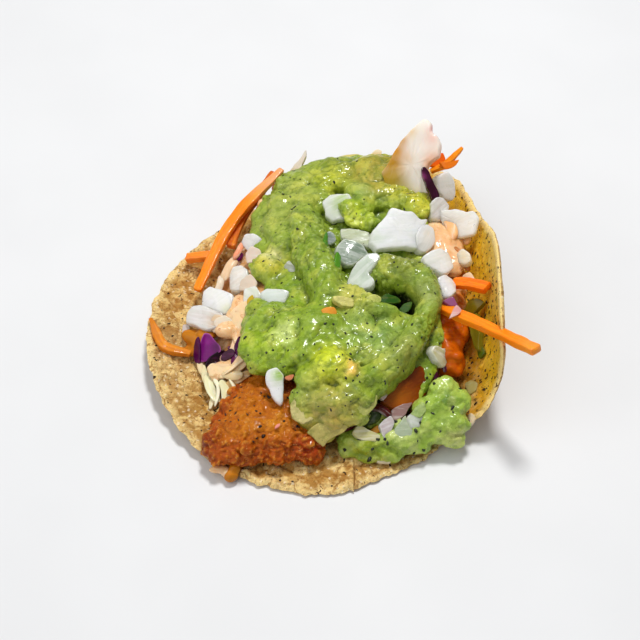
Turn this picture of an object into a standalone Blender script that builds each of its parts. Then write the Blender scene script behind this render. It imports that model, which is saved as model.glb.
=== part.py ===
"""An open fish taco: a corn tortilla lying on its left flap, its right flap curled up into
a wall, filled with slaw, fried fish, green salsa and loose cut vegetables.

The filling is laid out in millimetres in the frame of the tortilla's fold: X runs across the
fold, Y along it to the back, Z up, with the origin on the surface below the disc's middle.
FOLD_MIDDLE moves the whole taco so that its own origin is the middle of its box's bottom.
"""
import math

import bmesh
import bpy
from mathutils import Matrix, Quaternion, Vector, noise

MM = 0.001
GAP = 0.5                       # clearance that each piece keeps to the next
FOLD_MIDDLE = Vector((6.9, -2.1, 0.0))

# Tortilla: a disc that is bent round its fold line.
TORTILLA_RADIUS = 77.0
TORTILLA_THICKNESS = 2.2
FOLD_TURN = math.radians(5)     # the fold line's turn from the Y axis
RIGHT_SLOPE = math.radians(87)  # slope that the right flap ends with
LEFT_SLOPE = math.radians(17)
RIGHT_START = 0.13              # where each flap starts to rise, as a part of the radius
LEFT_START = 0.38
FRONT_TIGHTER = 0.165           # the flaps stand steeper at the front than at the back
BACK_LIFT = 6.3
BACK_LIFT_START = 0.2
RIM_WAVES = ((2, 0.027, 0.045), (3, 0.010, -0.052), (4, 0.010, -0.057), (5, 0.005, -0.019))
BEND_STEPS = 24

# Heaps, as reaches from their middle at equal turns, counter-clockwise from +X.
SLAW_MIDDLE = (-3, 10)
SLAW_REACH = (47, 47, 50, 56, 62, 54, 48, 47, 50, 56, 60, 58, 56, 56, 54, 50)
SLAW_CREST = 22.5
SLAW_RIGHT_RISE = 4.5
SLAW_LEFT_FALL = 13.0
SLAW_BACK_FALL = 1.5
SLAW_FRONT_FALL = 12.0
SALSA_MIDDLE = (-4, 4)
SALSA_REACH = (35, 38, 47, 65, 69, 64, 52, 37, 31, 36, 45, 57, 66, 63, 51, 39)
SALSA_DEPTH = 7.5
DOLLOP_MIDDLE = (18, -56)
DOLLOP_REACH = (24, 24, 12, 6, 4, 5, 8, 20, 22, 19, 12, 8, 6, 7, 9, 17)
FISH_MIDDLE = (-32, -45)
FISH_REACH = (20, 22, 26, 25, 21, 17, 14, 13, 15, 20, 29, 26, 22, 24, 26, 23)
FISH_HEIGHT = 14.0

# Lumps on the heaps: x, y, radius, height. Ridges: places along it, radius, height.
SLAW_LUMPS = ((31, 48, 14, 7), (-44, -12, 12, 2), (12, 66, 12, 2))
SALSA_LUMPS = (
    (-6, 66, 9, 3), (8, 60, 12, 3), (2, 32, 10, 3), (-31, 11, 7, 3), (-12, -25, 14, 4),
    (-7, -40, 9, 5), (-27, -32, 8, 3), (8, -42, 8, 2), (-14, -54, 10, 4), (23, 42, 8, 2),
    (16, 16, 12, 3),
)
SALSA_RIDGES = (
    (((12, 6), (27, 4), (30, -12), (25, -28), (15, -38), (3, -45)), 6, 4),
    (((-24, 52), (-18, 36), (-19, 19), (-16, 8), (-9, 0), (-12, -10)), 8, 3),
)
DOLLOP_LUMPS = ((34, -46, 10, 7), (30, -55, 9, 4), (4, -60, 8, 3), (18, -60, 7, 3))

# Loose pieces.
# Onion: middle, size (long, wide, thick), direction it faces, turn in degrees, bend.
ONIONS = (
    ((17, 17, 33), (22, 13, 4), (1, -5, 9), 4, 0.4),
    ((28, 17, 31), (8, 9, 4), (4, -5, 8), 60, 0.3),
    ((-7, 34, 29), (9, 10, 4), (-2, -6, 9), 20, 0.3),
    ((2, 20, 28.5), (11, 6, 3), (-1, -4, 9), 10, 0.3),
    ((1, 11, 27.5), (11, 8, 3), (1, -3, 9), -12, 0.4),
    ((-9, 22, 28), (6, 5, 3), (0, -6, 9), 0, 0.2),
    ((3, -1, 30), (18, 8, 4), (-2, -4, 9), 42, 0.5),
    ((-23, 9, 24.5), (5, 10, 3), (-4, -5, 8), -14, 0.3),
    ((5, 56, 27), (8, 5, 3), (0, -7, 8), 4, 0.2),
    ((36, 46, 31), (6, 11, 4), (5, -7, 6), 8, 0.3),
    ((33, 34, 30.5), (7, 7, 4), (3, -6, 8), 40, 0.3),
    ((41, 27, 30), (16, 15, 3), (-5, -6, 7), 24, 0.5),
    ((42, 12, 27.5), (6, 9, 3), (-5, -3, 7), 0, 0.3),
    ((32, 5, 31), (11, 11, 4), (3, -4, 9), 26, 0.5),
    ((35, -6, 28.5), (7, 8, 5), (2, -3, 9), 30, 0.2),
    ((30, -29, 22), (7, 10, 3), (6, -4, 6), -30, 0.3),
    ((-38, 26, 20), (11, 11, 4), (-5, -6, 8), -24, 0.4),
    ((-33, 33, 22), (5, 10, 3), (-3, -7, 8), 6, 0.3),
    ((-43, 10, 18), (10, 10, 3), (-5, -3, 9), 20, 0.4),
    ((-50, -1, 17), (12, 11, 4), (-4, -4, 9), 30, 0.4),
    ((-56, -8, 13), (17, 9, 3), (-4, -3, 9), -20, 0.5),
    ((-36, -4, 22), (8, 10, 4), (-4, -4, 8), -30, 0.4),
    ((-26, -6, 25.5), (11, 10, 4), (-3, -5, 9), 10, 0.4),
    ((-27, -46, 20), (5, 11, 3), (-2, -6, 8), 10, 0.3),
    ((12, -57, 12), (6, 5, 3), (1, -5, 9), 20, 0.2),
    ((21, -55, 13), (5, 6, 3), (-1, -6, 8), -20, 0.2),
    ((-4, -51, 15), (7, 6, 3), (1, -5, 9), -20, 0.2),
)
# Carrot matchstick: start, middle, end, width, thickness.
CARROTS = (
    ((-27, 62, 26), (-46, 40, 19), (-59, 8, 13), 4.6, 3.0),
    ((-30, 64, 22), (-42, 46, 16), (-47, 30, 14), 3.6, 2.6),
    ((-64, 28, 10), (-58, 27, 12), (-52, 28, 12), 3.6, 3.0),
    ((-76, -4, 11), (-70, -16, 9), (-60, -19, 8), 3.8, 2.6),
    ((37, -1, 27), (43, -4, 30), (49, -9, 33), 5.0, 2.6),
    ((32, -13, 27), (46, -28, 34), (62, -49, 45), 4.6, 3.0),
    ((31, 53, 33), (37, 53, 37), (43, 56, 43), 4.0, 3.0),
)
# Cabbage and cut pepper: material, middle, size, direction it faces, turn, bend, taper.
SLABS = {
    "cabbage_leaf": ("white_cabbage", (25, 49, 40), (36, 17, 4), (-3, -8, 6), 74, 0.5, 0.65),
    "cabbage_spike": ("white_cabbage", (-20, 66, 25), (15, 5, 2.4), (-2, -7, 7), 47, 0.3, 0.7),
    "cabbage_fold": ("white_cabbage", (10, 70, 26), (10, 6, 4), (0, -5, 9), 10, 0.4, 0.2),
    "red_cabbage_strip": ("red_cabbage", (32, 42, 37), (17, 4, 2.4), (4, -5, 8), 100, 0.4, 0.3),
    "red_cabbage_left": ("red_cabbage", (-54, -21, 8), (10, 9, 5), (-2, -4, 8), -20, 0.6, 0.1),
    "pepper_orange": ("sweet_pepper", (21, -42, 14), (17, 12, 5), (3, -5, 7), 25, 0.5, 0.2),
    "pepper_green": ("green_pepper", (43, -18, 20), (20, 8, 3), (-7, -2, 6), 80, 0.5, 0.3),
}

COLOURS = {
    "tortilla": (0.66, 0.47, 0.24),
    "fried_fish": (0.42, 0.13, 0.03),
    "slaw": (0.78, 0.52, 0.34),
    "salsa": (0.26, 0.42, 0.06),
    "onion": (0.80, 0.84, 0.74),
    "carrot": (0.85, 0.20, 0.02),
    "white_cabbage": (0.86, 0.80, 0.68),
    "red_cabbage": (0.10, 0.01, 0.07),
    "sweet_pepper": (0.50, 0.13, 0.02),
    "green_pepper": (0.20, 0.28, 0.03),
}


# ---------------------------------------------------------------- forms


def smooth_step(value):
    value = min(max(value, 0.0), 1.0)
    return value * value * (3 - 2 * value)


def fold_slope(across, along):
    """The tortilla's slope at a place on its flat disc of radius 1."""
    if across > 0:
        slope = RIGHT_SLOPE * smooth_step((across - RIGHT_START) / (1 - RIGHT_START))
    else:
        slope = -LEFT_SLOPE * smooth_step((-across - LEFT_START) / (1 - LEFT_START))
    return slope * (1 - FRONT_TIGHTER * along)


def bend_disc(across, along):
    """The place of a point of the flat disc once it is bent, and the slope there."""
    reach = height = 0.0
    step = across / BEND_STEPS
    for index in range(BEND_STEPS):
        slope = fold_slope(step * (index + 0.5), along)
        reach += TORTILLA_RADIUS * step * math.cos(slope)
        height += TORTILLA_RADIUS * step * math.sin(slope)
    height += BACK_LIFT * smooth_step((along - BACK_LIFT_START) / (1 - BACK_LIFT_START))
    return Vector((reach, TORTILLA_RADIUS * along, height)), fold_slope(across, along)


def fold_to_plan(point):
    cosine, sine = math.cos(FOLD_TURN), math.sin(FOLD_TURN)
    return Vector((point.x * cosine - point.y * sine, point.x * sine + point.y * cosine, point.z))


def rim_reach(turn):
    return 1 + sum(a * math.cos(n * turn) + b * math.sin(n * turn) for n, a, b in RIM_WAVES)


def floor_height(x, y):
    """The height of the tortilla's upper skin at a place in plan."""
    cosine, sine = math.cos(FOLD_TURN), math.sin(FOLD_TURN)
    reach = x * cosine + y * sine
    along = (y * cosine - x * sine) / TORTILLA_RADIUS
    side = 1 if reach > 0 else -1
    step = side / BEND_STEPS
    travelled = height = 0.0
    for index in range(round(1.3 * BEND_STEPS)):
        slope = fold_slope(step * (index + 0.5), along)
        width = TORTILLA_RADIUS * step * math.cos(slope)
        if abs(travelled + width) >= abs(reach):
            height += (reach - travelled) * math.tan(slope)
            break
        travelled += width
        height += TORTILLA_RADIUS * step * math.sin(slope)
    height += BACK_LIFT * smooth_step((along - BACK_LIFT_START) / (1 - BACK_LIFT_START))
    return height + TORTILLA_THICKNESS / math.cos(min(abs(slope), 1.2))


def reach_at(reaches, turn):
    """A smooth closed outline through reaches at equal turns."""
    place = (turn / math.tau % 1) * len(reaches)
    index = int(place)
    part = place - index
    before, start, end, after = (reaches[(index + k) % len(reaches)] for k in (-1, 0, 1, 2))
    return start + 0.5 * part * (
        end - before + part * (
            2 * before - 5 * start + 4 * end - after + part * (3 * (start - end) + after - before)))


def lumps_at(lumps, x, y):
    return sum(height * math.exp(-2 * ((x - cx) ** 2 + (y - cy) ** 2) / radius ** 2)
               for cx, cy, radius, height in lumps)


def ridges_at(ridges, x, y):
    total = 0.0
    for places, radius, height in ridges:
        distance = min(distance_to_line(x, y, start, end)
                       for start, end in zip(places, places[1:]))
        total += height * math.exp(-2 * distance ** 2 / radius ** 2)
    return total


def distance_to_line(x, y, start, end):
    run = Vector(end) - Vector(start)
    offset = Vector((x, y)) - Vector(start)
    part = min(max(offset.dot(run) / run.length_squared, 0), 1)
    return (offset - run * part).length


def outline_part(middle, reaches, x, y):
    """0 in the middle of a heap's outline and 1 on it."""
    offset = Vector((x - middle[0], y - middle[1]))
    return offset.length / reach_at(reaches, math.atan2(offset.y, offset.x))


def slaw_crest(x, y):
    crest = (SLAW_CREST
             + SLAW_RIGHT_RISE * smooth_step((x - 8) / 26)
             - SLAW_LEFT_FALL * smooth_step((-x - 35) / 24)
             - SLAW_BACK_FALL * smooth_step((y - 40) / 30)
             - SLAW_FRONT_FALL * smooth_step((-y - 10) / 40))
    return crest + lumps_at(SLAW_LUMPS, x, y) + 2 * noise.noise(Vector((x, y, 0)) / 14)


def salsa_bed(x, y):
    return max(slaw_crest(x, y) - 2, floor_height(x, y) + 2)


def salsa_crest(x, y):
    part = min(outline_part(SALSA_MIDDLE, SALSA_REACH, x, y), 1)
    depth = SALSA_DEPTH * (1 - 0.4 * part ** 4)
    relief = lumps_at(SALSA_LUMPS, x, y) + ridges_at(SALSA_RIDGES, x, y)
    return salsa_bed(x, y) + depth + relief


def dollop_bed(x, y):
    return floor_height(x, y) + 1


def dollop_crest(x, y):
    return floor_height(x, y) + 7 + lumps_at(DOLLOP_LUMPS, x, y)


def fish_bed(x, y):
    return floor_height(x, y) + 1


def fish_crest(x, y):
    part = min(outline_part(FISH_MIDDLE, FISH_REACH, x, y), 1)
    return 3 + FISH_HEIGHT * (1 - 0.3 * part ** 2) + 1.6 * noise.noise(Vector((x, y, 9)) / 7)


def slaw_bed(x, y):
    return floor_height(x, y) + 1


# Heaps: name, material, segments round and rings up, middle, outline, bed, crest.
HEAPS = (
    ("fried_fish", "fried_fish", 24, 10, FISH_MIDDLE, FISH_REACH, fish_bed, fish_crest),
    ("salsa", "salsa", 30, 18, SALSA_MIDDLE, SALSA_REACH, salsa_bed, salsa_crest),
    ("salsa_dollop", "salsa", 26, 10, DOLLOP_MIDDLE, DOLLOP_REACH, dollop_bed, dollop_crest),
    ("slaw", "slaw", 28, 12, SLAW_MIDDLE, SLAW_REACH, slaw_bed, slaw_crest),
)


# ---------------------------------------------------------------- making solids


def new_solid(name, slot, mesh_builder, collection):
    """A solid whose mesh is given in millimetres in the frame of the fold."""
    mesh = bpy.data.meshes.new(name)
    form = bmesh.new()
    mesh_builder(form)
    for vertex in form.verts:
        vertex.co = (vertex.co + FOLD_MIDDLE) * MM
    form.to_mesh(mesh)
    form.free()
    solid = bpy.data.objects.new(name, mesh)
    collection.objects.link(solid)
    mesh.materials.append(slot_material(slot))
    return solid


def slot_material(slot):
    material = bpy.data.materials.get(slot)
    if material is None:
        material = bpy.data.materials.new(slot)
        material.use_nodes = True
        surface = material.node_tree.nodes["Principled BSDF"]
        surface.inputs["Base Color"].default_value = (*COLOURS[slot], 1)
        surface.inputs["Roughness"].default_value = 0.5
    return material


def tortilla_form(form):
    """A flattened ball: its upper half becomes the upper skin and its lower half the lower."""
    bmesh.ops.create_uvsphere(form, u_segments=44, v_segments=14, radius=1)
    for vertex in form.verts:
        ball = vertex.co.copy()
        turn = math.atan2(ball.y, ball.x)
        reach = math.hypot(ball.x, ball.y) * rim_reach(turn)
        place, slope = bend_disc(reach * math.cos(turn), reach * math.sin(turn))
        half = TORTILLA_THICKNESS / 2 * max(-1, min(1, 3 * ball.z))
        place += Vector((-math.sin(slope), 0, math.cos(slope))) * half
        place.z += TORTILLA_THICKNESS / 2
        vertex.co = fold_to_plan(place)


def heap_form(segments, rings, middle, reaches, bed, crest):
    """A heap between its bed and its crest, from a ball whose equator is the outline."""
    def build(form):
        bmesh.ops.create_uvsphere(form, u_segments=segments, v_segments=rings, radius=1)
        for vertex in form.verts:
            ball = vertex.co.copy()
            turn = math.atan2(ball.y, ball.x)
            reach = math.hypot(ball.x, ball.y) * reach_at(reaches, turn)
            x = middle[0] + reach * math.cos(turn)
            y = middle[1] + reach * math.sin(turn)
            low, high = bed(x, y), crest(x, y)
            waist = low + 0.35 * max(high - low, 1)
            rise = min(1, abs(ball.z) * 1.2) ** 0.6
            goal = high if ball.z > 0 else low
            vertex.co = Vector((x, y, waist + (goal - waist) * rise))
    return build


def chip_axes(facing, turn):
    """The long, wide and thin directions of a cut piece, as a rotation."""
    normal = Vector(facing).normalized()
    level = (Vector((1, 0, 0)) - normal * normal.x).normalized()
    level.rotate(Quaternion(normal, math.radians(turn)))
    return Matrix((level, normal.cross(level), normal)).transposed()


def chip_form(middle, size, facing, turn, bend, taper=0.0):
    """A cut piece with rounded corners, cupped by bend and narrowed to one end by taper."""
    def build(form):
        bmesh.ops.create_icosphere(form, subdivisions=2, radius=1)
        for vertex in form.verts:
            box = [math.copysign(abs(value) ** 0.55, value) for value in vertex.co]
            local = Vector([box[axis] * size[axis] / 2 for axis in range(3)])
            local.y *= 1 - taper * (box[0] + 1) / 2
            local.z -= bend * size[2] * (box[0] ** 2 - 0.5)
            vertex.co = Vector(middle) + chip_axes(facing, turn) @ local
    return build


def chip_room(middle, size, facing, turn, bend, taper=0.0):
    """A plain block that holds the cut piece and the gap round it."""
    def build(form):
        bmesh.ops.create_cube(form, size=1)
        for vertex in form.verts:
            local = Vector([vertex.co[axis] * (size[axis] + 2 * GAP) for axis in range(3)])
            local.y *= 1 - taper * (vertex.co.x + 0.4)
            local.z *= 1 + bend
            vertex.co = Vector(middle) + chip_axes(facing, turn) @ local
    return build


def stick_form(start, middle, end, width, thickness):
    """A matchstick along a curve from start by middle to end."""
    def build(form):
        bmesh.ops.create_cube(form, size=2)
        long_edges = [edge for edge in form.edges
                      if abs(edge.verts[0].co.x - edge.verts[1].co.x) > 1]
        bmesh.ops.subdivide_edges(form, edges=long_edges, cuts=6, use_grid_fill=True)
        first, via, last = Vector(start), Vector(middle), Vector(end)
        control = via * 2 - (first + last) / 2
        for vertex in form.verts:
            part = (vertex.co.x + 1) / 2
            place = first * (1 - part) ** 2 + control * 2 * part * (1 - part) + last * part ** 2
            heading = ((control - first) * (1 - part) + (last - control) * part).normalized()
            side = Vector((0, 0, 1)).cross(heading).normalized()
            slim = 1 - 0.25 * (2 * part - 1) ** 4
            offset = side * vertex.co.y * width / 2 + heading.cross(side) * vertex.co.z * thickness / 2
            vertex.co = place + offset * slim
    return build


# ---------------------------------------------------------------- clearing pieces of each other


def make_room(solid, cutters):
    """A cutter like the solid but larger by the gap all round."""
    cutter = bpy.data.objects.new("room_for_" + solid.name, solid.data.copy())
    cutters.objects.link(cutter)
    form = bmesh.new()
    form.from_mesh(cutter.data)
    form.normal_update()
    moves = [(vertex, vertex.normal * vertex.calc_shell_factor()) for vertex in form.verts]
    for vertex, outward in moves:
        vertex.co += outward.normalized() * min(outward.length, 1.6) * GAP * MM
    form.to_mesh(cutter.data)
    form.free()
    return cutter


def box_of(solid):
    corners = [vertex.co for vertex in solid.data.vertices]
    return ([min(corner[axis] for corner in corners) for axis in range(3)],
            [max(corner[axis] for corner in corners) for axis in range(3)])


def boxes_meet(first, second):
    (low_a, high_a), (low_b, high_b) = box_of(first), box_of(second)
    return all(low_a[axis] < high_b[axis] and low_b[axis] < high_a[axis] for axis in range(3))


def keep_largest_body(mesh):
    """Deletes the crumbs that a cut leaves, so that one body stays."""
    form = bmesh.new()
    form.from_mesh(mesh)
    unseen = set(form.faces)
    bodies = []
    while unseen:
        body, edge_of_search = set(), [unseen.pop()]
        while edge_of_search:
            face = edge_of_search.pop()
            body.add(face)
            for edge in face.edges:
                for neighbour in edge.link_faces:
                    if neighbour in unseen:
                        unseen.discard(neighbour)
                        edge_of_search.append(neighbour)
        bodies.append(body)
    largest = max(bodies, key=lambda body: sum(face.calc_area() for face in body))
    crumbs = [face for face in form.faces if face not in largest]
    bmesh.ops.delete(form, geom=crumbs, context="FACES")
    bmesh.ops.triangulate(form, faces=form.faces)
    form.to_mesh(mesh)
    form.free()


def cut_clear(solid, room, cutters):
    """Cuts the room that earlier pieces need out of a solid."""
    meeting = [cutter for cutter in room if boxes_meet(solid, cutter)]
    if meeting:
        operands = bpy.data.collections.new("room_in_" + solid.name)
        cutters.children.link(operands)
        for cutter in meeting:
            operands.objects.link(cutter)
        boolean = solid.modifiers.new("clear_of_neighbours", "BOOLEAN")
        boolean.operation = "DIFFERENCE"
        boolean.solver = "MANIFOLD"
        boolean.operand_type = "COLLECTION"
        boolean.collection = operands
        bpy.context.view_layer.update()
        evaluated = solid.evaluated_get(bpy.context.evaluated_depsgraph_get())
        cut_mesh = bpy.data.meshes.new_from_object(evaluated)
        solid.modifiers.clear()
        solid.data = cut_mesh
    keep_largest_body(solid.data)


def main():
    for leftover in list(bpy.data.objects):
        bpy.data.objects.remove(leftover)
    taco = bpy.data.collections.new("taco")
    cutters = bpy.data.collections.new("cutters")
    bpy.context.scene.collection.children.link(taco)
    bpy.context.scene.collection.children.link(cutters)

    recipes = [("tortilla", "tortilla", tortilla_form, None)]
    for index, carrot in enumerate(CARROTS, 1):
        recipes.append((f"carrot_{index:02d}", "carrot", stick_form(*carrot), None))
    for index, onion in enumerate(ONIONS, 1):
        recipes.append((f"onion_{index:02d}", "onion", chip_form(*onion), chip_room(*onion)))
    for name, (slot, *slab) in SLABS.items():
        recipes.append((name, slot, chip_form(*slab), chip_room(*slab)))
    for name, slot, segments, rings, *heap in HEAPS:
        recipes.append((name, slot, heap_form(segments, rings, *heap), None))

    room = []
    for name, slot, build, build_room in recipes:
        solid = new_solid(name, slot, build, taco)
        if build_room:
            cutter = new_solid("room_for_" + name, slot, build_room, cutters)
        else:
            cutter = make_room(solid, cutters)
        cutter.display_type = "WIRE"
        cutter.hide_render = True
        cut_clear(solid, room, cutters)
        room.append(cutter)


main()
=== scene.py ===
"""The looks of an open fish taco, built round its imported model.

The filling is laid out in millimetres in the frame of the tortilla's fold, as in the model's
source: X runs across the fold, Y along it to the back, Z up. FOLD_MIDDLE moves it into place.

The camera, the tortilla's constants, the places of the pieces and many of the cut pieces' outlines
were not chosen by hand. Separate programs worked them out from positions in a photo, and they were
then rounded.
"""
import math
import random

import bmesh
import bpy
import numpy as np
from mathutils import Matrix, Quaternion, Vector, noise


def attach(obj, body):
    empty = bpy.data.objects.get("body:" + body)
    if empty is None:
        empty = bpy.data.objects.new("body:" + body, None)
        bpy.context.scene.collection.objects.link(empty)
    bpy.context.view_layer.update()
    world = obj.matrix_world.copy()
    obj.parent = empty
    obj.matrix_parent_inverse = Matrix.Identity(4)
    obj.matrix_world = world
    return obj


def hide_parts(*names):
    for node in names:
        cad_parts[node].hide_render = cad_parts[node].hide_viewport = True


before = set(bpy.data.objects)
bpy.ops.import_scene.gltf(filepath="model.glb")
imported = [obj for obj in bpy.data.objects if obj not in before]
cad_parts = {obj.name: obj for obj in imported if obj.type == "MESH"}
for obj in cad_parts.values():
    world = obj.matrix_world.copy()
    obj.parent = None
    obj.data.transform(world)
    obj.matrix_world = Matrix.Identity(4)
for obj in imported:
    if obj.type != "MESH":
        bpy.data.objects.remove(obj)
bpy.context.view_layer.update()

MM = 0.001
FOLD_MIDDLE = np.array((6.9, -2.1, 0.0))

# Camera: where it looks, how far it stands off, its height angle and its lens.
LOOK_AT = (-12.07, 4.76, 0.0)
CAMERA_DISTANCE = 598.0
CAMERA_ELEVATION = math.radians(48.52)
CAMERA_LENS = 87.23
SENSOR_WIDTH = 36.0

# Tortilla, as in the model's source.
TORTILLA_RADIUS = 77.0
TORTILLA_THICKNESS = 2.2
FOLD_TURN = math.radians(5)
RIGHT_SLOPE = math.radians(87)
LEFT_SLOPE = math.radians(17)
RIGHT_START = 0.13
LEFT_START = 0.38
FRONT_TIGHTER = 0.165
BACK_LIFT = 6.3
BACK_LIFT_START = 0.2
RIM_WAVES = ((2, 0.027, 0.045), (3, 0.010, -0.052), (4, 0.010, -0.057), (5, 0.005, -0.019))
BEND_STEPS = 24


# ---------------------------------------------------------------- the tortilla's form


def smooth_step(value):
    value = np.clip(value, 0.0, 1.0)
    return value * value * (3 - 2 * value)


def fold_slope(across, along):
    right = RIGHT_SLOPE * smooth_step((across - RIGHT_START) / (1 - RIGHT_START))
    left = -LEFT_SLOPE * smooth_step((-across - LEFT_START) / (1 - LEFT_START))
    return np.where(across > 0, right, left) * (1 - FRONT_TIGHTER * along)


def back_lift(along):
    return BACK_LIFT * smooth_step((along - BACK_LIFT_START) / (1 - BACK_LIFT_START))


def bend_disc(across, along):
    """Bends points of the flat disc of radius 1, and gives their places and slopes."""
    reach = np.zeros_like(across)
    height = np.zeros_like(across)
    step = across / BEND_STEPS
    for index in range(BEND_STEPS):
        slope = fold_slope(step * (index + 0.5), along)
        reach += TORTILLA_RADIUS * step * np.cos(slope)
        height += TORTILLA_RADIUS * step * np.sin(slope)
    height += back_lift(along)
    places = np.stack([reach, TORTILLA_RADIUS * along, height], axis=1)
    return places, fold_slope(across, along)


def fold_to_plan(points):
    cosine, sine = math.cos(FOLD_TURN), math.sin(FOLD_TURN)
    x, y, z = points.T
    return np.stack([x * cosine - y * sine, x * sine + y * cosine, z], axis=1)


def floor_height(x, y):
    """The height of the tortilla's upper skin at places in plan."""
    cosine, sine = math.cos(FOLD_TURN), math.sin(FOLD_TURN)
    x, y = np.atleast_1d(np.asarray(x, float)), np.atleast_1d(np.asarray(y, float))
    reach = x * cosine + y * sine
    along = (y * cosine - x * sine) / TORTILLA_RADIUS
    step = np.where(reach > 0, 1, -1) / BEND_STEPS
    travelled = np.zeros_like(x)
    height = np.zeros_like(x)
    done = np.zeros(x.shape, bool)
    for index in range(round(1.3 * BEND_STEPS)):
        slope = fold_slope(step * (index + 0.5), along)
        width = TORTILLA_RADIUS * step * np.cos(slope)
        arrives = ~done & (abs(travelled + width) >= abs(reach))
        goes_on = ~done & ~arrives
        height = np.where(arrives, height + (reach - travelled) * np.tan(slope), height)
        height = np.where(goes_on, height + TORTILLA_RADIUS * step * np.sin(slope), height)
        travelled = np.where(goes_on, travelled + width, travelled)
        done |= arrives
    return height + back_lift(along) + TORTILLA_THICKNESS


# ---------------------------------------------------------------- mesh helpers


def field(points, size, seed=0.0):
    """Smooth noise from -1 to 1 at points, with features about size across."""
    shift = Vector((seed * 17.3, seed * 5.1, seed * 11.7))
    return np.array([noise.noise(Vector(point) / size + shift) for point in points])


def shake(points, size, seed):
    """Smooth noise from -1 to 1 in each of the three directions."""
    return np.stack([field(points, size, seed + axis) for axis in range(3)], axis=1)


def pebbles(points, size, seed=0.0):
    """0 in the creases between irregular pebbles about size across, 1 on top of them."""
    shift = Vector((seed * 7.7, seed * 3.3, seed * 9.1))
    found = (noise.voronoi(Vector(point) / size + shift)[0] for point in points)
    return smooth_step(np.array([(second - first) for first, second, *_ in found]) / 0.55)


def warp(points, size, amount, seed):
    """Moves points about by smooth noise, so that round forms become uneven."""
    return points + amount * np.stack([field(points, size, seed + k / 3) for k in range(3)], axis=1)


def bulge(mesh, points, normals, rounds):
    """How far each point stands out from the softened surface, in millimetres."""
    count = len(points)
    pairs = np.empty(len(mesh.edges) * 2, int)
    mesh.edges.foreach_get("vertices", pairs)
    first, second = pairs.reshape(-1, 2).T
    links = np.bincount(pairs, minlength=count)[:, None]
    soft = points.copy()
    for _ in range(rounds):
        total = [np.bincount(first, soft[second, k], count) + np.bincount(second, soft[first, k], count)
                 for k in range(3)]
        soft = 0.5 * soft + 0.5 * np.stack(total, axis=1) / links
    return ((points - soft) * normals).sum(axis=1)


def new_piece(name, points, faces, material, node_names=()):
    """A mesh object from points in millimetres in the frame of the fold."""
    mesh = bpy.data.meshes.new(name)
    mesh.from_pydata(((np.asarray(points) + FOLD_MIDDLE) * MM).tolist(), [], faces)
    mesh.update()
    return place_piece(name, mesh, material, node_names)


def place_piece(name, mesh, material, node_names=()):
    piece = bpy.data.objects.new(name, mesh)
    bpy.context.scene.collection.objects.link(piece)
    mesh.materials.clear()
    mesh.materials.append(material)
    mesh.shade_smooth()
    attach(piece, "root")
    if node_names:
        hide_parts(*node_names)
    return piece


def mesh_points(mesh):
    flat = np.empty(len(mesh.vertices) * 3)
    mesh.vertices.foreach_get("co", flat)
    return flat.reshape(-1, 3) / MM - FOLD_MIDDLE


def mesh_normals(mesh):
    flat = np.empty(len(mesh.vertices) * 3)
    mesh.vertex_normals.foreach_get("vector", flat)
    return flat.reshape(-1, 3)


def set_points(mesh, points):
    mesh.vertices.foreach_set("co", ((points + FOLD_MIDDLE) * MM).ravel())
    mesh.update()


def paint(mesh, name, colours):
    """Stores a colour for each vertex."""
    layer = mesh.attributes.new(name, "FLOAT_COLOR", "POINT")
    full = np.ones((len(mesh.vertices), 4))
    full[:, :3] = colours
    layer.data.foreach_set("color", full.ravel())


def mark(mesh, name, vectors):
    """Stores a place in metres for each vertex, which textures follow."""
    layer = mesh.attributes.new(name, "FLOAT_VECTOR", "POINT")
    layer.data.foreach_set("vector", (np.asarray(vectors) * MM).ravel())


def blend_colours(base, tints):
    """Mixes tints, each (weights, colour), into a base colour, one after the other."""
    colours = np.array(base, float)
    for weights, colour in tints:
        share = np.clip(weights, 0, 1)[:, None]
        colours = colours * (1 - share) + np.array(colour) * share
    return colours


def near(points, place, radius):
    """1 at a place, falling smoothly to 0 beyond its radius."""
    distance = np.linalg.norm(points - np.array(place), axis=1) / radius
    return np.exp(-2 * distance ** 2)


def ball_mesh(detail):
    form = bmesh.new()
    bmesh.ops.create_icosphere(form, subdivisions=detail, radius=1)
    points = np.array([vertex.co[:] for vertex in form.verts])
    faces = np.array([[vertex.index for vertex in face.verts] for face in form.faces])
    form.free()
    return points, faces


def spline(places, spacing):
    """Points along a smooth curve through places, whose first three values are x, y, z."""
    places = np.array(places, float)
    padded = np.vstack([2 * places[0] - places[1], places, 2 * places[-1] - places[-2]])
    curve = []
    for before, start, end, after in zip(padded, padded[1:], padded[2:], padded[3:]):
        count = max(2, int(np.linalg.norm((end - start)[:3]) / spacing))
        for part in np.arange(count) / count:
            curve.append(0.5 * (2 * start + (end - before) * part
                                + (2 * before - 5 * start + 4 * end - after) * part ** 2
                                + (3 * start - before - 3 * end + after) * part ** 3))
    curve.append(places[-1])
    return np.array(curve)


def blob_cloud(blobs, strokes, bodies=()):
    """Joins balls, strokes of balls and other bodies into one list of points and faces."""
    ball_points, ball_faces = ball_mesh(3)
    points, faces, count = [], [], 0
    spots = [(place[:3], place[3:6]) for place in blobs]
    for stroke in strokes:
        for place in spline(stroke, 1.4):
            spots.append((place[:3], (place[3],) * 3))
    for middle, radii in spots:
        points.append(ball_points * np.array(radii) + np.array(middle))
        faces.append(ball_faces + count)
        count += len(ball_points)
    for body_points, body_faces in bodies:
        points.append(body_points)
        faces.append(np.array(body_faces) + count)
        count += len(body_points)
    return np.vstack(points), np.vstack(faces)


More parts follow.
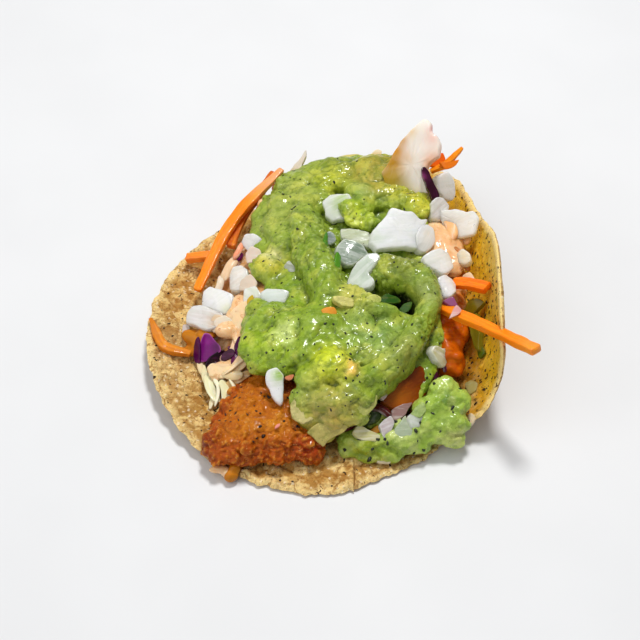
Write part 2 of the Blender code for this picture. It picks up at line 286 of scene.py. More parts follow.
def melt_together(name, points, faces, voxel, smoothing):
    """One closed skin round overlapping bodies, with softened creases, as a mesh."""
    mesh = bpy.data.meshes.new(name)
    mesh.from_pydata(((points + FOLD_MIDDLE) * MM).tolist(), [], faces.tolist())
    mesh.update()
    helper = bpy.data.objects.new(name + "_helper", mesh)
    bpy.context.scene.collection.objects.link(helper)
    remesh = helper.modifiers.new("skin", "REMESH")
    remesh.mode = "VOXEL"
    remesh.voxel_size = voxel * MM
    smooth = helper.modifiers.new("soften", "SMOOTH")
    smooth.factor = 0.5
    smooth.iterations = smoothing
    bpy.context.view_layer.update()
    evaluated = helper.evaluated_get(bpy.context.evaluated_depsgraph_get())
    skin = bpy.data.meshes.new_from_object(evaluated)
    bpy.data.objects.remove(helper)
    bpy.data.meshes.remove(mesh)
    skin.name = name
    return skin


def dome(middle, reaches, bed, crest, segments=96, rings=48):
    """A closed heap between its bed and its crest, for melting together with others."""
    form = bmesh.new()
    bmesh.ops.create_uvsphere(form, u_segments=segments, v_segments=rings, radius=1)
    bmesh.ops.triangulate(form, faces=form.faces)
    ball = np.array([vertex.co[:] for vertex in form.verts])
    faces = [[vertex.index for vertex in face.verts] for face in form.faces]
    form.free()
    turn = np.arctan2(ball[:, 1], ball[:, 0])
    reach = np.hypot(ball[:, 0], ball[:, 1]) * reach_at(reaches, turn)
    x = middle[0] + reach * np.cos(turn)
    y = middle[1] + reach * np.sin(turn)
    low, high = bed(x, y), crest(x, y)
    waist = low + 0.35 * np.maximum(high - low, 1)
    rise = np.minimum(1, abs(ball[:, 2]) * 1.2) ** 0.6
    goal = np.where(ball[:, 2] > 0, high, low)
    return np.stack([x, y, waist + (goal - waist) * rise], axis=1), faces


def reach_at(reaches, turn):
    """A smooth closed outline through reaches at equal turns."""
    reaches = np.array(reaches, float)
    place = (turn / math.tau % 1) * len(reaches)
    index = place.astype(int)
    part = place - index
    before, start, end, after = (reaches[(index + k) % len(reaches)] for k in (-1, 0, 1, 2))
    return start + 0.5 * part * (
        end - before + part * (
            2 * before - 5 * start + 4 * end - after + part * (3 * (start - end) + after - before)))


def chip_axes(facing, turn):
    """The long, wide and thin directions of a cut piece, as a rotation."""
    normal = Vector(facing).normalized()
    level = (Vector((1, 0, 0)) - normal * normal.x).normalized()
    level.rotate(Quaternion(normal, math.radians(turn)))
    return np.array(Matrix((level, normal.cross(level), normal)).transposed())


# ---------------------------------------------------------------- shader helpers


class Shader:
    """A material whose nodes are added by short calls."""

    def __init__(self, name):
        self.material = bpy.data.materials.new(name)
        self.material.use_nodes = True
        self.tree = self.material.node_tree
        self.surface = self.tree.nodes["Principled BSDF"]

    def node(self, kind, settings=(), **links):
        made = self.tree.nodes.new(kind)
        for key, value in dict(settings).items():
            setattr(made, key, value)
        for key, value in links.items():
            self.plug(made.inputs[key.replace("_", " ")], value)
        return made

    def plug(self, socket, value):
        if isinstance(value, bpy.types.NodeSocket):
            self.tree.links.new(value, socket)
        elif isinstance(value, tuple) and len(value) == 3 and socket.type == "RGBA":
            socket.default_value = (*value, 1)
        else:
            socket.default_value = value

    def place(self, attribute=None):
        if attribute:
            return self.node("ShaderNodeAttribute", {"attribute_name": attribute}).outputs["Vector"]
        return self.node("ShaderNodeTexCoord").outputs["Object"]

    def tint(self, attribute):
        return self.node("ShaderNodeAttribute", {"attribute_name": attribute}).outputs["Color"]

    def grain(self, size_mm, where, detail=3.0, roughness=0.55, distortion=0.0):
        return self.node("ShaderNodeTexNoise", Vector=where, Scale=1000 / size_mm, Detail=detail,
                         Roughness=roughness, Distortion=distortion).outputs["Fac"]

    def stretch(self, where, scale):
        return self.node("ShaderNodeMapping", Vector=where, Scale=Vector(scale)).outputs["Vector"]

    def window(self, value, low, high, to_low=0.0, to_high=1.0):
        made = self.node("ShaderNodeMapRange", {"interpolation_type": "SMOOTHSTEP"}, Value=value)
        for key, number in (("From Min", low), ("From Max", high),
                            ("To Min", to_low), ("To Max", to_high)):
            made.inputs[key].default_value = number
        return made.outputs["Result"]

    def mix(self, share, first, second, kind="MIX"):
        made = self.tree.nodes.new("ShaderNodeMix")
        made.data_type = "RGBA"
        made.blend_type = kind
        for index, value in ((0, share), (6, first), (7, second)):
            self.plug(made.inputs[index], value)
        return made.outputs[2]

    def maths(self, kind, first, second=0.0):
        made = self.tree.nodes.new("ShaderNodeMath")
        made.operation = kind
        self.plug(made.inputs[0], first)
        self.plug(made.inputs[1], second)
        return made.outputs[0]

    def wander(self, where, spacing_mm, wobble):
        """Places shifted a little this way and that."""
        noise = self.node("ShaderNodeTexNoise", Vector=where, Scale=2600 / spacing_mm)
        return self.node("ShaderNodeMixRGB", {"blend_type": "LINEAR_LIGHT"},
                         Fac=wobble * spacing_mm * MM, Color1=where,
                         Color2=noise.outputs["Color"]).outputs["Color"]

    def seams(self, where, spacing_mm, wobble):
        """How far a place is from the seam between cells, 0 on the seam."""
        return self.node("ShaderNodeTexVoronoi",
                         {"voronoi_dimensions": "2D", "feature": "DISTANCE_TO_EDGE"},
                         Vector=self.wander(where, spacing_mm, wobble),
                         Scale=1000 / spacing_mm).outputs["Distance"]

    def specks(self, where, spacing_mm, radius, share, blur=0.05, wobble=0.25, flat=False):
        """1 inside specks: one may lie in each cell, and share of the cells have one."""
        shifted = self.wander(where, spacing_mm, wobble)
        cell = self.node("ShaderNodeTexVoronoi", {"voronoi_dimensions": "2D" if flat else "3D"},
                         Vector=shifted, Scale=1000 / spacing_mm)
        inside = self.window(cell.outputs["Distance"], radius - blur, radius + blur, 1, 0)
        lot = self.node("ShaderNodeSeparateColor", Color=cell.outputs["Color"]).outputs["Red"]
        chosen = self.maths("LESS_THAN", lot, share)
        return self.maths("MULTIPLY", inside, chosen)

    def bump(self, height, distance_mm, strength=1.0, under=None):
        made = self.node("ShaderNodeBump", Height=height, Distance=distance_mm * MM,
                         Strength=strength)
        if under:
            self.tree.links.new(under, made.inputs["Normal"])
        return made.outputs["Normal"]

    def finish(self, **values):
        for key, value in values.items():
            self.plug(self.surface.inputs[key.replace("_", " ")], value)
        return self.material


def tortilla_material():
    shader = Shader("baked_corn")
    disc = shader.place("disc")
    tint = shader.tint("tint")
    oil = shader.node("ShaderNodeAttribute", {"attribute_name": "oil"}).outputs["Fac"]
    dry = shader.maths("SUBTRACT", 1.0, oil)
    spotted = shader.window(shader.grain(15, disc, 3, 0.6), 0.42, 0.60, 0.15, 1.0)
    soft = shader.window(shader.grain(4.5, disc, 4, 0.6), 0.46, 0.60)
    pale = shader.mix(shader.maths("MULTIPLY", soft, shader.maths("MULTIPLY", dry, 0.85)),
                      tint, (1.0, 0.74, 0.31))
    valley = shader.window(shader.grain(2.6, disc, 6, 0.72), 0.50, 0.64)
    tanned = shader.mix(shader.maths("MULTIPLY", valley, shader.maths("MULTIPLY", dry, 0.45)),
                        pale, (0.50, 0.23, 0.040))
    seam = shader.seams(disc, 6.5, 0.30)
    lined = shader.maths("MULTIPLY", shader.window(seam, 0.01, 0.09, 1, 0),
                         shader.window(shader.grain(5, disc, 4, 0.7), 0.44, 0.56, 0.0, 1.0))
    seamed = shader.mix(shader.maths("MULTIPLY", lined, shader.maths("MULTIPLY", dry, 0.85)),
                        tanned, (0.34, 0.135, 0.018))
    small = shader.seams(disc, 2.8, 0.35)
    cracked = shader.maths("MULTIPLY", shader.window(small, 0.02, 0.13, 1, 0),
                           shader.window(shader.grain(7, disc, 4, 0.7), 0.53, 0.60))
    crazed = shader.mix(shader.maths("MULTIPLY", cracked, shader.maths("MULTIPLY", dry, 0.75)),
                        seamed, (0.33, 0.13, 0.018))
    patch = shader.window(shader.grain(1.6, disc, 7, 0.78, 0.6), 0.555, 0.60)
    patched = shader.maths("MULTIPLY", shader.maths("MULTIPLY", patch, spotted),
                           shader.window(oil, 0.2, 1.0, 0.6, 0.25))
    toasted = shader.mix(shader.maths("MULTIPLY", patched, 0.9), crazed, (0.23, 0.072, 0.010))
    fine = shader.window(shader.grain(0.9, disc, 4, 0.7), 0.56, 0.64)
    freckled = shader.mix(shader.maths("MULTIPLY", fine, 0.7), toasted, (0.32, 0.13, 0.022))
    white = shader.specks(disc, 2.2, 0.18, 0.35, 0.06, 0.4, flat=True)
    bubbled = shader.mix(shader.maths("MULTIPLY", white, shader.maths("MULTIPLY", dry, 0.7)),
                         freckled, (0.97, 0.84, 0.58))
    brown = shader.specks(disc, 3.1, 0.09, 0.30, 0.05, 0.6, flat=True)
    dotted = shader.mix(shader.maths("MULTIPLY", brown, 0.85), bubbled, (0.11, 0.032, 0.007))
    dash = shader.specks(shader.stretch(disc, (0.6, 1.2, 1)), 3.6, 0.13, 0.42, 0.03, 0.5, flat=True)
    dashed = shader.mix(shader.maths("MULTIPLY", dash, oil), dotted, (0.05, 0.012, 0.003))
    black = shader.specks(disc, 5.5, 0.085, 0.45, 0.02, 0.5, flat=True)
    charred = shader.mix(black, dashed, (0.018, 0.007, 0.004))
    creased = shader.bump(shader.maths("MULTIPLY", shader.window(seam, 0.0, 0.25), dry), 0.45, 0.7)
    lumpy = shader.maths("MULTIPLY", shader.grain(2.6, disc, 6, 0.7), shader.window(oil, 0.2, 0.9, 1, 0.35))
    coarse = shader.bump(lumpy, 1.3, 0.8, creased)
    bumps = shader.bump(shader.grain(0.8, disc, 4, 0.65), 0.3, 0.7, coarse)
    rough = shader.window(oil, 0.0, 1.0, 0.7, 0.3)
    return shader.finish(Base_Color=charred, Roughness=rough, Normal=bumps,
                         Specular_IOR_Level=0.15,
                         Subsurface_Weight=0.1, Subsurface_Radius=(0.004, 0.002, 0.0007),
                         Subsurface_Scale=0.4)


def salsa_material():
    shader = Shader("green_salsa")
    where = shader.place()
    tint = shader.tint("tint")
    cloud = shader.window(shader.grain(4.0, where, 4, 0.6), 0.46, 0.62)
    deep = shader.mix(shader.maths("MULTIPLY", cloud, 0.6), tint, (0.48, 0.58, 0.34), "MULTIPLY")
    streak = shader.window(shader.grain(1.8, where, 6, 0.75, 1.2), 0.54, 0.68)
    light = shader.mix(shader.maths("MULTIPLY", streak, 0.6), deep, (0.32, 0.32, 0.12), "ADD")
    grouped = shader.window(shader.grain(9, where, 2), 0.42, 0.58, 0.15, 0.85)
    many = shader.specks(where, 1.7, 0.16, 0.22, 0.03, wobble=1.3)
    peppered = shader.mix(shader.maths("MULTIPLY", many, grouped), light, (0.02, 0.035, 0.006))
    black = shader.specks(where, 3.0, 0.125, 0.45, 0.03, wobble=1.2)
    flecked = shader.mix(shader.maths("MULTIPLY", black, 0.96), peppered, (0.010, 0.014, 0.005))
    uneven = shader.window(shader.grain(12, where, 2), 0.40, 0.60, 0.15, 1.0)
    granules = shader.maths("MULTIPLY", shader.grain(1.1, where, 4, 0.6), uneven)
    coarse = shader.bump(shader.grain(3.0, where, 4, 0.65, 0.8), 0.7, 0.6)
    fine = shader.bump(granules, 0.55, 0.8, coarse)
    return shader.finish(Base_Color=flecked, Roughness=0.34, Normal=fine, Specular_IOR_Level=0.2,
                         Coat_Weight=0.5, Coat_Roughness=0.10, Coat_IOR=1.4,
                         Subsurface_Weight=0.15, Subsurface_Radius=(0.003, 0.003, 0.001),
                         Subsurface_Scale=0.4)


def fish_material():
    shader = Shader("fried_crust")
    where = shader.place()
    tint = shader.tint("tint")
    cloud = shader.window(shader.grain(3.2, where, 6, 0.75, 0.6), 0.48, 0.62)
    dark = shader.mix(shader.maths("MULTIPLY", cloud, 0.6), tint, (0.30, 0.056, 0.003))
    crumb = shader.window(shader.grain(1.6, where, 6, 0.75), 0.53, 0.66)
    gold = shader.mix(shader.maths("MULTIPLY", crumb, 0.55), dark, (0.84, 0.30, 0.020))
    pale = shader.window(shader.grain(1.3, where, 4, 0.7, 0.8), 0.62, 0.68)
    paled = shader.mix(shader.maths("MULTIPLY", pale, 0.6), gold, (0.97, 0.58, 0.18))
    black = shader.specks(where, 3.4, 0.12, 0.35, 0.04, wobble=1.2)
    burnt = shader.mix(shader.maths("MULTIPLY", black, 0.92), paled, (0.018, 0.004, 0.002))
    coarse = shader.bump(shader.grain(2.0, where, 5, 0.7), 0.9, 0.8)
    fine = shader.bump(shader.grain(0.8, where, 4, 0.7), 0.35, 0.8, coarse)
    return shader.finish(Base_Color=burnt, Roughness=0.4, Normal=fine, Specular_IOR_Level=0.12,
                         Coat_Weight=0.3, Coat_Roughness=0.07, Coat_IOR=1.35)


def onion_material():
    shader = Shader("cut_onion")
    grain = shader.place("grain")
    tint = shader.tint("tint")
    lines = shader.grain(1.6, shader.stretch(grain, (0.13, 1.2, 1.0)), 3, 0.5)
    pale = shader.mix(shader.window(lines, 0.36, 0.50, 0.35, 0), tint, (1.0, 1.0, 1.0))
    veined = shader.mix(shader.window(lines, 0.48, 0.62, 0, 0.25), pale, (0.70, 0.76, 0.70))
    cloud = shader.window(shader.grain(5, grain, 3), 0.44, 0.62, 0, 0.30)
    clouded = shader.mix(cloud, veined, (0.80, 0.84, 0.76))
    black = shader.specks(grain, 4.5, 0.07, 0.22, 0.02, wobble=0.8)
    peppered = shader.mix(black, clouded, (0.03, 0.02, 0.015))
    ridged = shader.bump(lines, 0.35, 0.5)
    bumps = shader.bump(shader.grain(2.2, grain, 3), 0.35, 0.5, ridged)
    return shader.finish(Base_Color=peppered, Roughness=0.2, Normal=bumps, Specular_IOR_Level=0.5,
                         Transmission_Weight=0.13, IOR=1.33, Coat_Weight=0.6, Coat_Roughness=0.05,
                         Subsurface_Weight=1.0, Subsurface_Radius=(0.004, 0.004, 0.0037),
                         Subsurface_Scale=0.8)


def carrot_material():
    shader = Shader("cut_carrot")
    grain = shader.place("grain")
    tint = shader.tint("tint")
    streaks = shader.window(shader.grain(1.6, shader.stretch(grain, (0.10, 1.4, 1.4)), 5), 0.44, 0.66)
    orange = shader.mix(shader.maths("MULTIPLY", streaks, 0.45), tint, (1.0, 0.38, 0.012))
    dry = shader.window(shader.grain(0.9, grain, 5, 0.75), 0.62, 0.70, 0, 0.45)
    colour = shader.mix(dry, orange, (1.0, 0.52, 0.14))
    bumps = shader.bump(shader.grain(0.9, shader.stretch(grain, (0.3, 1, 1)), 4), 0.3, 0.7)
    return shader.finish(Base_Color=colour, Roughness=0.4, Normal=bumps, Specular_IOR_Level=0.15,
                         Coat_Weight=0.4, Coat_Roughness=0.12, Coat_IOR=1.4,
                         Subsurface_Weight=0.2, Subsurface_Radius=(0.004, 0.001, 0.0002),
                         Subsurface_Scale=0.5)


def painted_material(name, vein=(0.95, 0.92, 0.84), veining=0.3, rough=0.22, clear=0.0, depth=0.3, coat=0.5):
    """A wet piece of vegetable in its painted colours, with faint veins."""
    shader = Shader(name)
    grain = shader.place("grain")
    lines = shader.grain(1.8, shader.stretch(grain, (0.3, 1.4, 1.0)), 5, 0.6)
    veined = shader.mix(shader.window(lines, 0.48, 0.68, 0, veining), shader.tint("tint"), vein)
    bumps = shader.bump(lines, 0.3, depth)
    return shader.finish(Base_Color=veined, Roughness=rough, Normal=bumps, Specular_IOR_Level=0.2,
                         Coat_Weight=coat, Coat_Roughness=0.08, Coat_IOR=1.4,
                         Transmission_Weight=clear, IOR=1.36, Subsurface_Weight=0.25,
                         Subsurface_Radius=(0.003, 0.002, 0.0015), Subsurface_Scale=0.5)


def dressing_material():
    shader = Shader("peach_dressing")
    where = shader.place()
    tint = shader.tint("tint")
    cloud = shader.window(shader.grain(4, where, 4), 0.42, 0.62, 0, 0.55)
    cream = shader.mix(cloud, tint, (0.94, 0.70, 0.45))
    glaze = shader.window(shader.grain(3.0, where, 4, 0.6, 0.6), 0.56, 0.68, 0, 0.55)
    glazed = shader.mix(glaze, cream, (0.62, 0.25, 0.045))
    red = shader.specks(where, 3.6, 0.13, 0.35, 0.05, 0.6)
    flecked = shader.mix(shader.maths("MULTIPLY", red, 0.85), glazed, (0.42, 0.06, 0.008))
    bumps = shader.bump(shader.grain(2.2, where, 3), 0.4, 0.5)
    return shader.finish(Base_Color=flecked, Roughness=0.3, Normal=bumps, Specular_IOR_Level=0.2,
                         Coat_Weight=0.5, Coat_Roughness=0.08, Coat_IOR=1.4,
                         Subsurface_Weight=0.25, Subsurface_Radius=(0.004, 0.002, 0.001),
                         Subsurface_Scale=0.5)


# ---------------------------------------------------------------- tortilla

CRACK_TURN = math.radians(-95)      # where the tortilla has split at its front rim
CRACK_DEPTH = 0.17


def rim_reach(turn):
    return 1 + sum(a * np.cos(n * turn) + b * np.sin(n * turn) for n, a, b in RIM_WAVES)


def make_tortilla():
    spread = np.arange(520) * math.tau / 520 - math.pi
    close = CRACK_TURN + np.radians((-0.55, -0.3, -0.12, 0.0, 0.12, 0.3, 0.55))
    turn = np.unique(np.concatenate([spread, close]))
    spokes = len(turn)
    ring = np.concatenate([np.linspace(0.02, 0.93, 96), np.linspace(0.937, 1.0, 12)])
    rings = len(ring)
    circle = np.stack([np.cos(turn), np.sin(turn), 0 * turn], axis=1) * TORTILLA_RADIUS
    front = smooth_step((-np.sin(turn) - 0.2) / 0.5)
    ragged = (0.8 + 0.7 * front) * field(circle, 5.5, 1) + (0.5 + 0.5 * front) * field(circle, 1.9, 2) - 0.4
    bite = -1.3 * np.exp(-((turn + math.radians(29)) / 0.035) ** 2)
    step = 1.1 * ((turn < CRACK_TURN) & (turn > CRACK_TURN - 0.35)) * (1 - (CRACK_TURN - turn) / 0.35)
    edge = rim_reach(turn) + (ragged + bite + step) / TORTILLA_RADIUS
    parts, angles = np.meshgrid(ring, turn, indexing="ij")
    reach = parts * edge[None, :]
    across, along = (reach * np.cos(angles)).ravel(), (reach * np.sin(angles)).ravel()
    parts, angles, reach = parts.ravel(), angles.ravel(), reach.ravel()
    places, slope = bend_disc(across, along)
    disc = np.stack([across, along, 0 * across], axis=1) * TORTILLA_RADIUS
    outward = np.stack([-np.sin(slope), 0 * slope, np.cos(slope)], axis=1)

    wall = smooth_step((across - 0.35) / 0.35)
    nearly_rim = smooth_step((parts - 0.84) / 0.14)
    forward = smooth_step((-along - 0.45) / 0.4)
    warped = warp(disc, 7, 2.2, 9)
    swell = 0.75 * field(disc, 24, 3) + 0.75 * field(disc, 10, 4)
    cobbles = pebbles(warped, 6.5, 5)
    blister = 0.85 * (cobbles - 0.6) + 0.45 * (pebbles(warped, 3.2, 6) - 0.6)
    pebble = 0.24 * field(disc, 1.9, 7) + 0.16 * field(disc, 1.0, 8)
    flaky = np.round(2.4 * field(disc, 6, 10) + 1.2 * field(disc, 2.5, 11)) * 0.28 * nearly_rim * forward
    relief = (swell + blister) * (1 - 0.7 * wall) + pebble + flaky
    off_crack = abs((angles - CRACK_TURN + math.pi) % math.tau - math.pi) * reach * TORTILLA_RADIUS
    off_crack = off_crack + 0.25 * field(disc, 2.5, 15)
    split = smooth_step((parts - 1 + CRACK_DEPTH) / 0.06) * np.exp(-(off_crack / 0.24) ** 2)
    lipped = smooth_step((parts - 1 + CRACK_DEPTH) / 0.06) * (angles < CRACK_TURN)
    relief = relief - 1.5 * split + 0.7 * lipped * np.exp(-off_crack / 3.0)
    roll = np.sqrt(np.clip(1 - ((parts - 0.965) / 0.035).clip(0, 1) ** 2, 0, 1))

    half = TORTILLA_THICKNESS / 2
    raised = np.array((0, 0, half))
    upper = places + raised + outward * ((half + relief) * roll)[:, None]
    kept = np.flatnonzero(np.isin(np.arange(rings), np.r_[0:96:3, 96:rings]))
    under = places + raised - outward * ((half + 0.5 * pebble + 0.35 * field(disc, 9, 14)) * roll)[:, None]
    under = under.reshape(rings, spokes, 3)[kept].reshape(-1, 3)
    under[:, 2] = np.maximum(under[:, 2], 0.0)
    upper[:, 2] = np.maximum(upper[:, 2], 0.2)
    points = fold_to_plan(np.vstack([upper, under]))
    count = rings * spokes
    column = np.arange(spokes)
    following = (column + 1) % spokes
    faces = []
    for skin, rows, flip in ((0, rings, False), (count, len(kept), True)):
        for row in range(rows - 1):
            low, high = skin + row * spokes, skin + (row + 1) * spokes
            quads = np.stack([low + column, high + column, high + following, low + following], axis=1)
            faces += (quads[:, ::-1] if flip else quads).tolist()
        middle = (skin + column).tolist()
        faces.append(middle[::-1] if flip else middle)
    last, under_last = (rings - 1) * spokes, count + (len(kept) - 1) * spokes
    faces += np.stack([last + column, under_last + column,
                       under_last + following, last + following], axis=1).tolist()
    piece = new_piece("tortilla_skin", points, faces, tortilla_material(), ["tortilla"])

    height = places[:, 2]
    high = smooth_step(0.45 + (swell * 0.25 + blister) / 1.1)
    back_left = smooth_step((along + 0.02) / 0.25) * (across < 0)
    rim = smooth_step((parts - 0.955) / 0.03)
    scattered = 0.2 + 0.8 * smooth_step(0.5 + 1.6 * field(disc, 13, 12)) * (0.4 + 0.6 * forward)
    spread = smooth_step((field(warp(disc, 2.0, 1.2, 17), 2.2, 16) - 0.20) / 0.12)
    blotch = spread * scattered * (1 - 0.8 * wall)
    colours = blend_colours(np.tile((0.70, 0.43, 0.135), (count, 1)), (
        # Lighter on the raised blisters, browner in the low parts and the creases between them: partly the
        # tortilla's own toasting, partly painted light and painted shade.
        (high * 0.75, (1.0, 0.73, 0.285)),
        ((1 - high) * 0.35, (0.50, 0.24, 0.042)),
        (smooth_step(1 - cobbles * 2.2) * 0.75, (0.36, 0.15, 0.024)),
        (back_left * 0.3, (0.54, 0.28, 0.06)),
        (smooth_step((-across - 0.55) / 0.3) * smooth_step((0.05 - along) / 0.2) * 0.5, (1.0, 0.76, 0.36)),
        (forward * 0.25, (0.76, 0.42, 0.095)),
        (near(disc, (-50, -38, 0), 38) * 1.1, (0.48, 0.245, 0.050)),
        (blotch * 0.75, (0.30, 0.105, 0.014)),
        (wall * 0.95, (1.0, 0.64, 0.020)),
        (wall * smooth_step((height - 22) / 18) * 0.8, (1.0, 0.80, 0.17)),
        (wall * smooth_step((18 - height) / 10) * 0.7, (0.90, 0.36, 0.008)),
        # Darker in the low parts of the wall: partly its own toasting, partly painted shade.
        (wall * (1 - high) * 0.25, (0.76, 0.32, 0.010)),
        (np.exp(-((across - 0.42) / 0.16) ** 2) * 0.6, (0.74, 0.34, 0.025)),
        (rim * 0.75, (0.94, 0.72, 0.32)),
        # Darker along the crack: painted shade inside it.
        (split * 0.7, (0.36, 0.18, 0.05)),
        (nearly_rim * (1 - rim) * forward * 0.3, (0.45, 0.22, 0.05)),
    ))
    oil = wall * 0.9 + (1 - wall) * 0.15
    under_colours = np.tile((0.62, 0.38, 0.13), (len(under), 1))
    paint(piece.data, "tint", np.vstack([colours, under_colours]))
    paint(piece.data, "oil", np.repeat(np.concatenate([oil, 0 * under[:, 0]])[:, None], 3, axis=1))
    under_disc = disc.reshape(rings, spokes, 3)[kept].reshape(-1, 3)
    mark(piece.data, "disc", np.vstack([disc, under_disc]))
    top, up = fold_to_plan(upper), fold_to_plan(outward)
    char = (0.026, 0.007, 0.002)
    scatter_flecks("wall_flecks", top, up, 200, 91, (0.30, 0.66), "char_on_wall", char,
                   (across > 0.5) & (parts < 0.97), -1)
    scatter_flecks("flap_flecks", top, up, 150, 92, (0.22, 0.42), "char_on_flap", char,
                   (across < 0.4) & (parts > 0.5) & (parts < 0.97))


# ---------------------------------------------------------------- salsa

SLAW_MIDDLE = (-3, 10)
SLAW_REACH = (47, 47, 50, 56, 62, 54, 48, 47, 50, 56, 60, 58, 56, 56, 54, 50)
SALSA_MIDDLE = (-4, 4)
SALSA_REACH = (33, 37, 46, 62, 66, 61, 49, 35, 29, 34, 42, 52, 60, 59, 50, 38)


def slaw_crest(x, y):
    return (22.5
            + 4.5 * smooth_step((x - 8) / 26)
            - 13.0 * smooth_step((-x - 35) / 24)
            - 1.5 * smooth_step((y - 40) / 30)
            - 12.0 * smooth_step((-y - 10) / 40)
            + 7 * np.exp(-2 * ((x - 31) ** 2 + (y - 48) ** 2) / 14 ** 2))


def salsa_crest(x, y):
    return slaw_crest(x, y) + 3.5


# Lobes of salsa: x, y, z, then radii. Strokes: x, y, z, radius at each place.
SALSA_BALLS = (
    (-25, 44, 22, 9, 10, 6), (-27, 32, 23, 9, 10, 5.5), (-25, 22, 24, 7, 9, 5), (-28, 19, 22, 6, 6, 4),
    (-21, 55, 23, 10, 8, 5.5), (-10, 60, 23, 11, 8, 6), (2, 64, 24, 10, 7, 5), (11, 62, 26, 9, 7, 4.5),
    (-8, 52, 27.5, 9, 5, 4), (4, 41, 29, 8, 9, 5.2), (-7, 63, 26.5, 4, 4, 4), (-14, 44, 26, 8, 8, 4.5),
    (-1, 33, 32, 5, 5, 3), (3, 28, 32, 6, 5, 3), (6, 25, 31.5, 4.5, 3.5, 2.5),
    (8, 58, 28, 10, 8, 5), (16, 52, 29, 10, 11, 4.5), (21, 45, 30, 8, 10, 4), (25, 37, 30.5, 6.5, 8, 3.6),
    (13, 45, 28, 8, 9, 5), (20, 60, 29, 7, 6, 5), (-2, 58, 27, 8, 5, 4), (12, 48, 28.5, 15, 12, 4.6),
    (19, 42, 29, 9, 9, 4),
    (-1, -26, 26, 12, 10, 4.5), (9, -27, 26, 10, 9, 4.5), (3, -34, 25, 11, 8, 4.5), (-9, -31, 26, 10, 8, 4.5),
    (14, -20, 26, 8, 9, 4.5), (1, -17, 28, 10, 7, 4.5), (-12, -21, 28, 10, 9, 5), (-21, -20, 26, 9, 9, 4.8),
    (11, -33, 25, 8, 7, 4.5),
    (-3, -11, 31, 8, 5, 3.2), (5, -14, 31, 7, 4.5, 3), (11, -17, 30, 6, 4, 3), (-9, -8, 30, 6, 6, 3.5),
    (-33, -27, 21, 9, 9, 6), (-27, -29, 24.5, 9, 8, 4.5), (-31, -34, 21, 8, 5, 4.5),
    (-24, -36, 22, 7, 5, 4.5),
    (-36, -19, 20, 6, 9, 5.5), (-29, -17, 24, 8, 8, 5), (-18, -33, 26, 8, 7, 4.5), (-33, -10, 21, 7, 7, 5),
    (-8, -41, 27.5, 8, 7, 5.2), (-2, -44, 26, 5, 6, 4.6), (-15, -44, 24, 6, 6, 5),
    (-16, -50, 19, 7, 6, 5.5), (-7, -52, 21, 9, 6, 5.5), (2, -50, 22, 7, 5, 5), (-15, -55, 14.5, 6, 4, 5),
    (-8, -56, 16, 9, 4.5, 5), (0, -55, 17, 6, 4, 4.5), (-11, -58.5, 12, 5, 3.5, 4), (6, -47, 23, 6, 4.5, 4),
    (-32, 10, 23, 7, 7, 4.5),
)
SALSA_STROKES = (
    ((-21, 50, 21, 6), (-18, 40, 23.5, 7.5), (-18, 29, 25.5, 7.5), (-16, 15, 26.5, 8), (-12, 4, 27, 8.5),
     (-9, -6, 26.5, 8), (-9, -13, 26, 7)),
    ((5, 4, 27.5, 4), (11, 2.5, 28.5, 6.8), (18, 0.5, 29, 7.6), (24.5, -4, 29.5, 6.8), (27.5, -11, 30, 5.4),
     (26.5, -18, 30, 4.8), (23, -26, 29, 4.8), (18, -34, 27.5, 5), (11, -41, 26.5, 5), (4, -46, 26, 4),
     (-3, -49, 25, 3)),
    ((24, -20, 26, 4.5), (21, -30, 24.5, 4.6), (16, -37, 23, 5), (11, -42, 21, 5), (6, -46, 20, 4.5)),
)
# Hollows pressed into it: middle, radius, depth.
SALSA_HOLLOWS = (((8, -8, 32), 3.0, 5.0), ((12, -10, 32), 4.6, 8.5), ((17, -10, 32), 4.6, 9.5),
                 ((21, -13, 32), 3.6, 8.0),
                 ((17, -23, 32), 4.5, 1.5))
FLECKS_ON_SALSA = 260
SALSA_SHADE = 0.9


